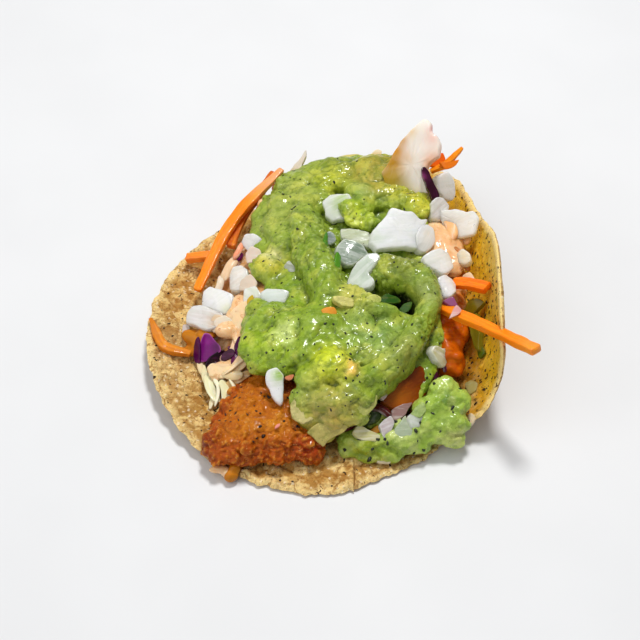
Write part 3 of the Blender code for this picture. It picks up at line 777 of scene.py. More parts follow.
def salsa_colours(points, humps):
    spots = warp(points, 5, 2.2, 71)
    cloudy = field(spots, 6, 72)
    patchy = field(points, 3.2, 73)
    creases = 1 - smooth_step(abs(field(spots, 5, 74)) / 0.10)
    curl_shadow = np.exp(-2 * ((points[:, 0] - 17) ** 2 + (points[:, 1] + 10) ** 2) / 7.5 ** 2)
    return blend_colours(np.tile((0.29, 0.43, 0.026), (len(points), 1)), (
        (near(spots, (-14, 14, 30), 22) * 0.8, (0.26, 0.37, 0.030)),
        (near(spots, (-20, 30, 28), 14) * 0.6, (0.40, 0.50, 0.05)),
        (near(spots, (-20, 50, 25), 18) * 1.0, (0.44, 0.50, 0.09)),
        (near(spots, (-30, 34, 24), 14) * 0.9, (0.46, 0.52, 0.10)),
        (near(spots, (-6, 61, 28), 12) * 1.0, (0.34, 0.38, 0.05)),
        (near(spots, (-8, 52, 31), 9) * 1.4, (0.58, 0.62, 0.03)),
        (near(spots, (5, 44, 33), 9) * 1.2, (0.30, 0.45, 0.10)),
        (near(spots, (6, 48, 33), 5) * 1.2, (0.46, 0.64, 0.20)),
        (near(spots, (14, 55, 32), 16) * 2.4, (0.46, 0.39, 0.045)),
        (near(spots, (24, 44, 32), 9) * 1.6, (0.58, 0.52, 0.035)),
        (near(spots, (27, 35, 31), 6) * 1.8, (0.80, 0.74, 0.035)),
        (near(spots, (20, 59, 32), 7) * 1.6, (0.74, 0.40, 0.035)),
        (near(spots, (-30, -30, 24), 13) * 1.2, (0.42, 0.58, 0.022)),
        (near(spots, (-25, -27, 29), 6) * 1.3, (0.74, 0.86, 0.26)),
        (near(spots, (-8, -41, 30), 9) * 1.8, (0.74, 0.82, 0.025)),
        (near(spots, (-1, -43, 30), 4.5) * 1.4, (1.0, 0.66, 0.12)),
        (near(spots, (-8, -54, 17), 13) * 2.0, (0.58, 0.46, 0.10)),
        (near(spots, (-3, -50, 22), 6) * 1.0, (0.60, 0.58, 0.05)),
        (near(spots, (-6, -57, 17), 3.5) * 1.2, (0.85, 0.45, 0.03)),
        (near(spots, (18, 4, 34), 11) * 1.4, (0.25, 0.28, 0.025)),
        (near(spots, (28, -12, 33), 10) * 1.3, (0.36, 0.43, 0.10)),
        (near(spots, (16, -36, 30), 12) * 1.2, (0.46, 0.51, 0.10)),
        (near(spots, (-31, 10, 25), 8) * 1.8, (0.66, 0.60, 0.06)),
        (near(spots, (-30, 14, 27), 4) * 1.8, (0.90, 0.84, 0.36)),
        (near(spots, (2, 29, 34), 8) * 1.6, (0.54, 0.66, 0.025)),
        (near(spots, (8, -27, 29), 12) * 1.2, (0.34, 0.50, 0.10)),
        (near(spots, (1, -12, 34), 9) * 1.3, (0.62, 0.60, 0.10)),
        (smooth_step((cloudy - 0.10) / 0.35) * 0.40, (0.70, 0.70, 0.10)),
        (smooth_step((-cloudy - 0.15) / 0.35) * 0.35, (0.20, 0.30, 0.012)),
        (smooth_step((patchy - 0.2) / 0.3) * 0.30, (0.20, 0.32, 0.012)),
        (creases * 0.55, (0.14, 0.20, 0.007)),
        # Darker in the hollows and lighter on the humps: painted shade and painted light.
        (smooth_step(-humps / 0.55) * 0.9, (0.08, 0.13, 0.004)),
        (smooth_step((humps - 0.12) / 0.7) * 0.55, (0.80, 0.86, 0.26)),
        # Near black down in the hollow under the curl: painted shadow.
        (curl_shadow * smooth_step((30.0 - points[:, 2]) / 4) * 2.0, (0.008, 0.018, 0.002)),
    )) * SALSA_SHADE


def make_salsa(material):
    heap = dome(SALSA_MIDDLE, SALSA_REACH, lambda x, y: slaw_crest(x, y) - 4, salsa_crest)
    points, faces = blob_cloud(SALSA_BALLS, SALSA_STROKES, [heap])
    skin = melt_together("salsa_cream", warp(points, 7, 1.3, 15), faces, 0.6, 12)
    points, normals = mesh_points(skin), mesh_normals(skin)
    broad = np.sqrt(abs(field(warp(points, 6, 2.5, 16), 9, 11))) - 0.45
    narrow = np.sqrt(abs(field(warp(points, 4, 1.5, 12), 4.2, 13))) - 0.45
    rough = smooth_step(0.5 + 1.2 * field(points, 16, 14) + 0.7 * near(points, (-16, 18, 31), 24))
    cobbled = pebbles(warp(points, 3, 1.4, 18), 2.8, 19) - 0.6
    lumps = 1.2 * broad + (0.45 + 0.5 * rough) * narrow + (0.12 + 0.5 * rough * rough) * cobbled
    points = points + normals * lumps[:, None]
    for middle, radius, depth in SALSA_HOLLOWS:
        away = np.linalg.norm((points - np.array(middle))[:, :2], axis=1) / radius
        points[:, 2] -= depth * np.exp(-2 * away ** 2)
    set_points(skin, points)
    normals = mesh_normals(skin)
    humps = bulge(skin, points, normals, 14)
    paint(skin, "tint", salsa_colours(points, humps))
    place_piece("salsa_cream", skin, material, ["salsa"])
    scatter_flecks("salsa_flecks", points, normals, FLECKS_ON_SALSA, 7, (0.22, 0.55), "pepper_fleck",
                   (0.010, 0.014, 0.006))


def fleck_mesh(rng, place, normal, size):
    """A tiny irregular flake lying on a surface."""
    side = Vector((rng.uniform(-1, 1), rng.uniform(-1, 1), rng.uniform(-1, 1))).cross(Vector(normal))
    side = np.array(side.normalized())
    other = np.cross(normal, side)
    count = rng.randint(5, 7)
    long = rng.uniform(0.9, 2.0)
    rim = []
    for k in range(count):
        turn = k / count * math.tau
        reach = size * rng.uniform(0.7, 1.2)
        rim.append(place + side * math.cos(turn) * reach * long + other * math.sin(turn) * reach)
    top = place + np.array(normal) * size * 0.5
    bottom = place - np.array(normal) * size * 0.4
    points = rim + [top, bottom]
    faces = [[k, (k + 1) % count, count] for k in range(count)]
    faces += [[(k + 1) % count, k, count + 1] for k in range(count)]
    return points, faces


def scatter_flecks(name, points, normals, count, seed, sizes, finish, colour, inside=None, least_up=0.15):
    """Loose flakes set into the upper side of a surface."""
    rng = random.Random(seed)
    upward = np.flatnonzero((normals[:, 2] > least_up) & (inside if inside is not None else True))
    all_points, faces = [], []
    for _ in range(count):
        index = upward[rng.randrange(len(upward))]
        size = rng.uniform(*sizes)
        bits, bit_faces = fleck_mesh(rng, points[index], normals[index], size)
        faces += [[len(all_points) + corner for corner in face] for face in bit_faces]
        all_points += bits
    shader = Shader(finish)
    where = shader.place()
    tone = shader.mix(shader.window(shader.grain(1.5, where, 2), 0.4, 0.6), colour,
                      tuple(value * 2.2 for value in colour))
    new_piece(name, all_points, faces, shader.finish(Base_Color=tone, Roughness=0.35))


DOLLOP_BALLS = (
    (32, -43, 16, 6, 5, 5), (36, -47, 14, 6, 6, 5), (30, -49, 14, 7, 6, 5), (27, -53, 11, 5, 5, 5),
    (34, -54, 11, 7, 5, 5), (38, -54, 10, 4, 4, 4), (30, -57, 8, 6, 4, 4), (35, -58, 7, 5, 3.5, 3.5),
    (25, -56, 8, 4, 4, 4), (24, -50, 14, 3, 4, 4),
    (-1, -58, 6, 5, 4, 4), (4, -60, 7, 6, 4, 4), (9, -60, 7, 6, 4, 4), (14, -59, 8, 6, 4, 4.5),
    (18, -60, 8, 6, 4, 4.5), (12, -63, 4.5, 6, 3, 3), (5, -63, 4, 5, 3, 2.5), (-2, -61, 4, 4, 3, 2.5),
    (21, -58, 9, 4, 4, 4), (-3, -54, 5, 4, 4, 3), (23, -60, 6, 5, 3.5, 3.5), (17, -56, 10, 4, 3, 4),
)


def make_dollop(material):
    points, faces = blob_cloud(DOLLOP_BALLS, ())
    skin = melt_together("salsa_spoonful", warp(points, 6, 1.3, 25), faces, 0.5, 8)
    points, normals = mesh_points(skin), mesh_normals(skin)
    fold = np.sqrt(abs(field(warp(points, 5, 1.6, 24), 5.5, 21))) - 0.45
    relief = 0.9 * fold + 0.45 * field(points, 2.6, 22) + 0.32 * field(points, 1.4, 23)
    points = points + normals * relief[:, None]
    points[:, 2] = np.maximum(points[:, 2], floor_height(points[:, 0], points[:, 1]) - 0.6)
    set_points(skin, points)
    normals = mesh_normals(skin)
    humps = bulge(skin, points, normals, 12)
    spots = warp(points, 4, 1.6, 26)
    cloudy = field(spots, 5, 27)
    colours = blend_colours(np.tile((0.36, 0.52, 0.07), (len(points), 1)), (
        (near(spots, (6, -61, 7), 11) * 1.4, (0.36, 0.42, 0.025)),
        (near(spots, (12, -60, 9), 5) * 1.2, (0.18, 0.34, 0.02)),
        (near(spots, (17, -58, 13), 6) * 1.2, (0.62, 0.68, 0.26)),
        (near(spots, (33, -44, 20), 6), (0.46, 0.60, 0.12)),
        (near(spots, (35, -57, 9), 6) * 1.2, (0.66, 0.66, 0.22)),
        (near(spots, (34, -49, 18), 3.5) * 1.4, (0.10, 0.22, 0.015)),
        (smooth_step((cloudy - 0.1) / 0.35) * 0.4, (0.66, 0.72, 0.20)),
        (smooth_step((-cloudy - 0.1) / 0.35) * 0.4, (0.18, 0.32, 0.02)),
        # Darker in the hollows and lighter on the humps: painted shade and painted light.
        (smooth_step(-humps / 0.8) * 0.8, (0.10, 0.17, 0.006)),
        (smooth_step((humps - 0.15) / 0.9) * 0.5, (0.78, 0.86, 0.30)),
    ))
    paint(skin, "tint", colours)
    place_piece("salsa_spoonful", skin, material, ["salsa_dollop"])
    scatter_flecks("dollop_flecks", points, normals, 34, 17, (0.4, 0.9), "dollop_fleck",
                   (0.010, 0.014, 0.006))


# ---------------------------------------------------------------- fried fish

FISH_MIDDLE = (-32, -45)
FISH_REACH = (20, 22, 26, 25, 21, 17, 14, 13, 15, 20, 29, 26, 22, 24, 26, 23)


def fish_crest(x, y):
    away = np.hypot(x - FISH_MIDDLE[0], y - FISH_MIDDLE[1])
    reach = reach_at(FISH_REACH, np.arctan2(y - FISH_MIDDLE[1], x - FISH_MIDDLE[0]))
    return 3 + 13 * (1 - 0.35 * (away / reach) ** 2.5)


def make_fish():
    heap = dome(FISH_MIDDLE, FISH_REACH, lambda x, y: floor_height(x, y) + 1, fish_crest)
    rng = random.Random(5)
    crags = [(-15, -63, 6, 4.5, 4, 4), (-18, -60, 8, 5, 4, 4)]
    for step in range(40):
        turn = (step + rng.uniform(-0.4, 0.4)) / 40 * math.tau
        reach = float(reach_at(FISH_REACH, np.array([turn]))[0]) * rng.uniform(0.80, 0.99)
        x, y = FISH_MIDDLE[0] + reach * math.cos(turn), FISH_MIDDLE[1] + reach * math.sin(turn)
        size = rng.uniform(1.2, 3.4)
        crags.append((x, y, rng.uniform(4, 11.5), size, size, size * 0.8))
    points, faces = blob_cloud(crags, (), [heap])
    skin = melt_together("fish_crust", points, faces, 0.45, 3)
    points, normals = mesh_points(skin), mesh_normals(skin)
    turn = np.arctan2(points[:, 1] - FISH_MIDDLE[1], points[:, 0] - FISH_MIDDLE[0])
    out = np.hypot(points[:, 0] - FISH_MIDDLE[0], points[:, 1] - FISH_MIDDLE[1]) / reach_at(FISH_REACH, turn)
    rough = 0.35 + smooth_step((out - 0.45) / 0.4)
    warped = warp(points, 4, 2.0, 35)
    lumps = (1.0 * field(points, 8, 31) + 0.9 * (pebbles(warped, 5.5, 32) - 0.6)
             + rough * (0.9 * abs(field(warped, 2.6, 33)) + 0.5 * field(points, 1.5, 36))
             + 0.16 * field(points, 0.9, 34))
    points = points + normals * lumps[:, None]
    set_points(skin, points)
    normals = mesh_normals(skin)
    humps = bulge(skin, points, normals, 10)
    patchy = field(warped, 7, 38)
    colours = blend_colours(np.tile((0.58, 0.170, 0.003), (len(points), 1)), (
        (smooth_step((patchy - 0.05) / 0.3) * 0.6, (0.68, 0.255, 0.010)),
        (smooth_step((-patchy - 0.1) / 0.3) * 0.5, (0.42, 0.09, 0.003)),
        (smooth_step((out - 0.62 + 0.15 * patchy) / 0.26) * 0.85, (0.42, 0.062, 0.002)),
        (near(points, (-22, -40, 17), 10) * 1.3, (0.24, 0.03, 0.003)),
        (near(points, (-53, -62, 9), 7), (0.18, 0.012, 0.002)),
        (near(points, (-16, -63, 9), 6), (0.40, 0.02, 0.002)),
        # Darker in the crevices and lighter on the crests: painted shade and painted light.
        (smooth_step(-humps / 0.5) * 0.7, (0.20, 0.034, 0.002)),
        (smooth_step((humps - 0.1) / 0.5) * 0.6, (0.92, 0.42, 0.04)),
    ))
    paint(skin, "tint", colours)
    place_piece("fish_crust", skin, fish_material(), ["fried_fish"])
    scatter_flecks("crust_flecks", points, normals, 46, 37, (0.3, 0.7), "crust_fleck",
                   (0.014, 0.004, 0.002), out < 0.85)


# ---------------------------------------------------------------- slaw

def make_slaw(dressing):
    heap = dome(SLAW_MIDDLE, [reach - 1 for reach in SLAW_REACH],
                lambda x, y: floor_height(x, y) + 0.5,
                lambda x, y: slaw_crest(x, y) - 2 - 8 * np.exp(-2 * ((x - 17) ** 2 + (y + 10) ** 2) / 100))
    skin = melt_together("slaw_core", heap[0], np.array(heap[1]), 0.9, 2)
    points, normals = mesh_points(skin), mesh_normals(skin)
    lumps = 1.0 * field(points, 7, 41) + 0.9 * field(points, 3, 42)
    points = points + normals * lumps[:, None]
    set_points(skin, points)
    humps = bulge(skin, points, mesh_normals(skin), 10)
    right = smooth_step((points[:, 0] - 15) / 12)
    low = smooth_step((16 - points[:, 2]) / 10)
    colours = blend_colours(np.tile((0.52, 0.25, 0.075), (len(points), 1)), (
        (right * (points[:, 1] < 12) * 0.9, (0.55, 0.14, 0.008)),
        (right * low * 0.9, (0.30, 0.06, 0.005)),
        # Near black towards the front: painted shade in the gaps where the slaw shows there.
        (smooth_step((-points[:, 1] - 28) / 10) * 0.95, (0.10, 0.02, 0.008)),
        # Darker in the hollows: painted shade.
        (smooth_step(-humps / 0.7) * 0.8, (0.24, 0.06, 0.012)),
    ))
    paint(skin, "tint", colours)
    place_piece("slaw_core", skin, dressing, ["slaw"])


def strip_mesh(rng, path, width, thickness, twist, seed):
    """A thin curling shred along a path. Gives its points, faces and grain."""
    path = spline(path, 0.9)
    heading = np.gradient(path, axis=0)
    heading /= np.linalg.norm(heading, axis=1)[:, None]
    side = np.cross((0, 0, 1), heading) + 1e-6
    side /= np.linalg.norm(side, axis=1)[:, None]
    above = np.cross(heading, side)
    run = np.linspace(0, 1, len(path))
    angle = rng.uniform(-0.5, 0.5) + twist * run
    across = side * np.cos(angle)[:, None] + above * np.sin(angle)[:, None]
    through = above * np.cos(angle)[:, None] - side * np.sin(angle)[:, None]
    taper = np.clip(np.minimum(run, 1 - run) * 5 + 0.35, 0, 1)
    ring = np.array([(-1, 0), (-0.8, 0.9), (0, 1.0), (0.8, 0.9),
                     (1, 0), (0.8, -0.9), (0, -1.0), (-0.8, -0.9)])
    points, grain = [], []
    for index, place in enumerate(path):
        half = width / 2 * taper[index]
        points.append(place + across[index] * ring[:, :1] * half
                      + through[index] * ring[:, 1:] * thickness / 2 * taper[index])
        grain.append(np.stack([np.full(8, index * 0.9), ring[:, 0] * half, ring[:, 1]], axis=1))
    points, grain = np.vstack(points), np.vstack(grain)
    points += 0.25 * shake(points, 3, seed)
    column = np.arange(8)
    faces = []
    for row in range(len(path) - 1):
        low, high = row * 8, (row + 1) * 8
        faces += np.stack([low + column, low + (column + 1) % 8, high + (column + 1) % 8, high + column],
                          axis=1)[:, ::-1].tolist()
    faces += [list(range(8)), [(len(path) - 1) * 8 + k for k in reversed(range(8))]]
    return points, faces, grain


# Shreds of cabbage in the slaw that show: places along each, width, thickness, twist, colour.
CREAM = (0.80, 0.64, 0.38)
PALE_GREEN = (0.66, 0.66, 0.38)
PEACH = (0.88, 0.52, 0.26)
PURPLE = (0.10, 0.002, 0.06)
SHREDS = (
    (((-44, -3, 16), (-42, -9, 16), (-42, -17, 15), (-45, -24, 12), (-51, -29, 8.5)), 4.2, 2.0, 0.4, PEACH),
    (((-38, -14, 19), (-38, -22, 17.5), (-41, -28, 15), (-47, -32, 11.5)), 3.4, 1.0, 0.8, (0.92, 0.68, 0.42)),
    (((-55, -24, 7.5), (-54, -31, 7), (-51, -37, 7), (-52, -43, 5)), 2.4, 1.0, 0.5, (0.78, 0.68, 0.40)),
    (((-53, -28, 8), (-52, -35, 7.5), (-49, -41, 6.5)), 4.4, 0.8, -0.5, (0.80, 0.76, 0.46)),
    (((-51, -31, 9), (-49, -36, 8.5), (-50, -43, 6.5)), 1.8, 1.0, 0.9, (0.92, 0.86, 0.62)),
    (((-48, -33, 10), (-46, -38, 8.8), (-46, -43, 7)), 4.0, 0.8, 0.5, (0.78, 0.74, 0.44)),
    (((-45, -34, 11.5), (-43, -38, 10.5), (-44, -43, 8.5)), 1.8, 1.0, -0.9, (0.90, 0.80, 0.56)),
    (((-48, -30, 11), (-44, -33, 12), (-40, -34, 14)), 3.6, 1.4, 0.3, (0.74, 0.56, 0.30)),
    (((-57, -18, 7), (-56, -25, 6), (-53, -30, 7), (-49, -33, 8)), 2.6, 1.6, 0.3, CREAM),
    (((-46, -19, 12), (-43, -23, 13), (-44, -28, 12)), 3.0, 1.8, 0.2, PURPLE),
    # Purple cabbage painted near black: painted shade in the gap here.
    (((-52, -22, 7), (-49, -25, 7), (-46, -27, 8)), 3.2, 2.4, 0.2, (0.05, 0.001, 0.02)),
    (((-49, 12, 14), (-47, 17, 16), (-44, 22, 17)), 4.0, 2.0, 0.2, (0.80, 0.56, 0.34)),
    (((-45, 20, 18), (-43, 24, 19), (-42, 28, 19)), 2.4, 2.0, 0.3, (0.90, 0.34, 0.18)),
    (((-44, 20, 17), (-42, 24, 17)), 2.4, 2.0, 0.0, PURPLE),
    (((-52, 6, 12), (-50, 11, 14), (-50, 15, 14)), 3.0, 1.8, 0.2, (0.80, 0.66, 0.50)),
    (((-36, 40, 18), (-36, 46, 18), (-34, 52, 18)), 4.0, 2.0, 0.2, (0.56, 0.34, 0.08)),
    (((-31, 36, 20), (-30, 44, 20), (-27, 52, 21)), 3.5, 2.0, 0.2, (0.42, 0.26, 0.05)),
    (((-28, 56, 21), (-22, 61, 23), (-15, 66, 23)), 3.5, 2.0, 0.4, (0.78, 0.56, 0.26)),
    (((-10, 67, 23), (-3, 70, 24), (5, 71, 24)), 3.0, 2.0, 0.4, (0.60, 0.50, 0.14)),
    (((35, 33, 29), (38, 27, 29), (38, 20, 28)), 5.0, 3.0, 0.3, (0.92, 0.50, 0.22)),
    (((40, 34, 25), (43, 28, 25), (44, 21, 25)), 4.0, 2.4, 0.3, PEACH),
    (((36, 18, 28), (41, 15, 26), (44, 8, 24)), 3.0, 2.0, 0.5, (0.50, 0.16, 0.02)),
    (((31, -16, 25), (31, -24, 22), (32, -31, 18)), 3.0, 1.8, 0.3, (0.34, 0.36, 0.04)),
    (((33, -22, 22), (33, -28, 19), (33, -34, 15)), 2.6, 2.0, 0.3, PURPLE),
    # Purple cabbage painted near black: painted shade under the salsa here.
    (((28, -33, 18), (30, -38, 15), (31, -42, 12)), 2.6, 2.0, 0.3, (0.05, 0.001, 0.02)),
    # Near black: painted shade in the gaps at the front.
    (((-9, -58, 8), (-4, -56, 10), (1, -54, 11)), 3.0, 2.0, 0.2, (0.10, 0.004, 0.01)),
    (((5, -50, 15), (9, -51, 16), (13, -53, 14)), 3.2, 2.0, 0.2, (0.08, 0.006, 0.006)),
    (((13, -41, 20), (17, -40, 20), (20, -38, 20)), 2.4, 1.6, 0.2, PURPLE),
)


BACK_SHREDS = 46


def back_shreds(rng):
    """Shreds laid at random along the sides of the slaw that face away."""
    laid = []
    for _ in range(BACK_SHREDS):
        turn = math.radians(rng.uniform(28, 192))
        sweep = math.radians(rng.uniform(7, 15)) * rng.choice((-1, 1))
        lift, tilt = rng.uniform(0.12, 0.60), rng.uniform(-0.30, 0.30)
        path = []
        for part in (0, 0.5, 1):
            angle = turn + sweep * part
            reach = float(reach_at(SLAW_REACH, np.array([angle]))[0]) * rng.uniform(0.95, 1.0)
            x, y = SLAW_MIDDLE[0] + reach * math.cos(angle), SLAW_MIDDLE[1] + reach * math.sin(angle)
            low, high = float(floor_height(x, y)[0]) + 1, float(slaw_crest(x, y)) - 2
            path.append((x, y, low + (high - low) * min(0.75, max(0.1, lift + tilt * part))))
        colour = rng.choice((CREAM, CREAM, PALE_GREEN, PEACH, (0.80, 0.56, 0.30), PURPLE))
        laid.append((path, rng.uniform(1.6, 3.4), 1.2, rng.uniform(-0.8, 0.8), colour))
    return laid


def make_shreds():
    material = painted_material("slaw_shred", veining=0.35, rough=0.3, coat=0.2)
    rng = random.Random(3)
    points, faces, grain, colours = [], [], [], []
    shreds = list(SHREDS) + back_shreds(random.Random(8))
    for index, (path, width, thickness, twist, colour) in enumerate(shreds):
        some, quads, marks = strip_mesh(rng, path, width, thickness, twist, 200 + index)
        faces += [[len(points) + corner for corner in face] for face in quads]
        points += some.tolist()
        grain += (marks + index * 20).tolist()
        colours += [colour] * len(some)
    piece = new_piece("slaw_shreds", points, faces, material)
    mark(piece.data, "grain", grain)
    paint(piece.data, "tint", colours)
    subdivided(piece, 1)


# ---------------------------------------------------------------- cut pieces

CLEAR = (0.88, 0.93, 0.93)
GREY = (0.26, 0.33, 0.25)
PINKISH = (0.84, 0.72, 0.60)

# Onion: node number, middle, thickness, direction it faces, turn, cup, colour, outline in its plane.
ONIONS = (
    (1, (17, 17, 33), 4, (1, -5, 9), 4, 1.8, CLEAR,
     ((-11, -2), (-10, 2), (-7, 5), (-4, 8), (-2, 11), (3, 9), (6, 9), (9, 6), (12, 6), (10, 3), (8, -2),
      (7, -6), (2, -5), (-1, -5), (-6, -5), (-9, -5))),
    (2, (28, 17, 31), 4, (4, -5, 8), 60, 0.8, (0.84, 0.82, 0.78),
     ((-2, 5), (2, 5), (5, 3), (5, 0), (1, -3), (-3, -3), (-6, -1), (-6, 2))),
    (3, (-7, 34, 29.5), 3.4, (-2, -6, 9), 20, 0.8, (0.70, 0.74, 0.62),
     ((-3, 5), (1, 6), (5, 5), (8, 4), (9, -1), (3, -5), (0, -4), (-2, -4), (-4, -1), (-3, 1))),
    (4, (2, 20, 29), 3, (-1, -4, 9), 10, 0.6, (0.46, 0.50, 0.30),
     ((-6, 5), (-2, 4), (2, 2), (5, 1), (4, -5), (1, -4), (-3, -1), (-6, 1))),
    (5, (1, 11, 28), 3, (1, -3, 9), -12, 1.2, GREY,
     ((-8, 0), (-8, 3), (-6, 6), (-2, 6), (2, 5), (5, 2), (2, 0), (0, -4), (-3, -5), (-6, -3))),
    (6, (-9, 22, 28), 3, (0, -6, 9), 0, 0.3, (0.26, 0.33, 0.31),
     ((-3, -1), (0, 2), (2, 1), (3, -2), (0, -4), (-3, -2))),
    (7, (3, -1, 31), 3.4, (-2, -4, 9), 42, 1.5, (0.50, 0.58, 0.46),
     ((10, 0), (10, 2), (7, 4), (2, 4), (-2, 3), (-6, 1), (-9, -1), (-7, -4), (-3, -6), (0, -7), (2, -6),
      (2, -4), (2, -2), (4, -2), (7, -1))),
    (8, (-23, 9, 25.5), 3, (-4, -5, 8), -14, 0.4, (0.38, 0.40, 0.28),
     ((-1, -5), (-3, -1), (-1, 2), (3, -1), (4, -2), (2, -7), (0, -7))),
    (9, (5, 56, 28.5), 3, (0, -7, 8), 4, 0.3, PINKISH,
     ((-5, -1), (-3, 2), (-1, 2), (3, 0), (2, -2), (-1, -2))),
    (10, (36, 46, 31), 4, (5, -7, 6), 8, 0.8, (0.82, 0.74, 0.66),
     ((-4, 3), (-3, 5), (1, 6), (3, 4), (4, 0), (4, -4), (2, -6), (-2, -5), (-4, -1))),
    (11, (33, 34, 30.5), 4, (3, -6, 8), 40, 0.9, (0.60, 0.54, 0.48),
     ((-1, 4), (2, 4), (4, 2), (4, -2), (0, -4), (-3, -4), (-5, -1))),
    (12, (41, 27, 30), 2.6, (-5, -6, 7), 24, 1.6, (0.86, 0.78, 0.68),
     ((-9, 10), (-7, 9), (-3, 7), (2, 5), (5, 2), (7, 2), (8, -1), (7, -3), (5, -6), (4, -7), (0, -6),
      (-4, -5), (-6, -3), (-7, 0), (-6, 4))),
    (13, (42, 12, 27.5), 3, (-5, -3, 7), 0, 0.5, (0.80, 0.62, 0.40),
     ((-3, 1), (0, 3), (2, 1), (3, 0), (3, -3), (1, -4), (-2, -3))),
    (14, (32, 5, 31), 4, (3, -4, 9), 26, 1.6, (0.84, 0.83, 0.78),
     ((-6, 4), (-3, 5), (2, 5), (5, 2), (5, -1), (4, -4), (1, -5), (-2, -5), (-4, -2), (-6, 1))),
    (15, (35, -6, 28.5), 5.5, (2, -3, 9), 30, 1.8, (0.93, 0.93, 0.95),
     ((-3, 5), (1, 5), (3, 3), (3, 0), (1, -3), (-3, -4), (-5, -3), (-5, 1))),
    (16, (30, -29, 22), 3, (6, -4, 6), -30, 0.4, (0.60, 0.60, 0.34),
     ((-3, -3), (-3, 0), (1, 1), (5, 5), (6, 0), (5, -5), (1, -5))),
    (17, (-38, 26, 20), 4, (-5, -6, 8), -24, 1.2, (0.84, 0.78, 0.72),
     ((-5, -2), (-5, 2), (-3, 3), (1, 4), (7, 2), (7, -1), (5, -4), (1, -4))),
    (18, (-33, 33, 22), 3, (-3, -7, 8), 6, 0.4, (0.66, 0.52, 0.38),
     ((-3, -1), (0, 2), (2, 2), (2, -4), (1, -8), (-1, -5))),
    (19, (-43, 10, 18), 4, (-5, -3, 9), 20, 1.2, (0.76, 0.65, 0.55),
     ((-5, -4), (-3, 1), (0, 4), (3, 3), (5, 0), (4, -3), (3, -7), (0, -7), (-3, -6))),
    (20, (-50, -1, 17), 4, (-4, -4, 9), 30, 1.2, (0.93, 0.91, 0.84),
     ((-7, 2), (-3, 6), (0, 6), (4, 1), (6, -2), (4, -6), (1, -8), (-1, -7), (-4, -2))),
    (21, (-56, -8, 13), 3, (-4, -3, 9), -20, 1.2, (0.70, 0.64, 0.60),
     ((-7, -2), (-8, 2), (-7, 5), (-3, 6), (3, 5), (7, 5), (9, 2), (8, -1), (4, -3), (1, -3), (-3, -2))),
    (22, (-36, -4, 22), 3.4, (-4, -4, 8), -30, 0.9, (0.64, 0.68, 0.52),
     ((-6, 1), (-2, 4), (2, 2), (5, -1), (4, -6), (-1, -5), (-4, -3))),
    (23, (-27, -6, 26), 3.4, (-3, -5, 9), 10, 1.0, (0.68, 0.76, 0.68),
     ((-7, 2), (-4, 3), (-1, 2), (2, 1), (4, 0), (1, -5), (-2, -8), (-5, -6), (-8, -3))),
    (24, (-27, -46, 20), 3, (-2, -6, 8), 10, 0.6, (0.92, 0.93, 0.86),
     ((-4, 5), (-3, 7), (1, 8), (3, 4), (2, 0), (1, -5), (0, -6), (-2, -4), (-3, 0), (-4, 3))),
    (25, (12, -57, 12), 2.2, (1, -5, 9), 20, 0.3, (0.66, 0.56, 0.56),
     ((-3, 2), (2, 4), (3, 1), (0, -2), (-1, -5), (-3, -4), (-3, -1))),
    (26, (21, -55, 13), 2.4, (-1, -6, 8), -20, 0.4, (0.70, 0.76, 0.60),
     ((-3, -3), (-3, 1), (-1, 4), (2, 4), (3, 0), (1, -4))),
    (27, (-4, -51, 15), 3, (1, -5, 9), -20, 0.4, (0.62, 0.62, 0.28),
     ((-4, -1), (-2, 2), (2, 3), (4, 1), (3, -3), (-1, -3))),
)


def slab_mesh(outline, thickness, cup, seed, ragged=0.3, spacing=0.75):
    """A flat cut piece with a given outline, cupped along its length."""
    corners = np.array(outline, float)
    edge = []
    for start, end in zip(corners, np.roll(corners, -1, axis=0)):
        count = max(2, int(np.linalg.norm(end - start) / spacing))
        edge += [start + (end - start) * k / count for k in range(count)]
    edge = np.array(edge)
    edge = 0.7 * edge + 0.15 * (np.roll(edge, 1, axis=0) + np.roll(edge, -1, axis=0))
    flat = np.column_stack([edge, 0 * edge[:, 0]])
    edge = edge + ragged * np.column_stack([field(flat, 2.2, seed), field(flat, 2.2, seed + 1)])
    twice_area = edge[:, 0] * np.roll(edge[:, 1], -1) - np.roll(edge[:, 0], -1) * edge[:, 1]
    if twice_area.sum() < 0:
        edge = edge[::-1]
    middle = edge.mean(axis=0)
    profile = ((0.12, 1), (0.35, 1), (0.56, 1), (0.74, 1), (0.88, 1), (0.955, 0.97), (0.99, 0.8), (1.0, 0.4),
               (1.0, -0.2), (0.985, -0.7), (0.95, -0.95), (0.75, -1), (0.4, -1), (0.12, -1))
    lean = 0.12 * thickness
    rows = []
    for share, level in profile:
        rows.append(np.column_stack([middle + (edge - middle) * share + lean * level,
                                     np.full(len(edge), level * thickness / 2)]))
    local = np.vstack(rows)
    grain = local.copy()
    local[:, 2] += thickness * (0.14 * field(local, 5, seed + 2) + 0.05 * field(local, 1.6, seed + 3))
    half = abs(corners[:, 0] - middle[0]).max()
    local[:, 2] -= cup * (((local[:, 0] - middle[0]) / half) ** 2 - 0.3)
    around = len(edge)
    column = np.arange(around)
    faces = [list(range(around))]
    for row in range(len(profile) - 1):
        low, high = row * around, (row + 1) * around
        faces += np.stack([high + column, high + (column + 1) % around, low + (column + 1) % around,
                           low + column], axis=1).tolist()
    faces.append([(len(profile) - 1) * around + k for k in reversed(range(around))])
    share = np.repeat([share for share, _ in profile], around)
    return local, faces, grain, share


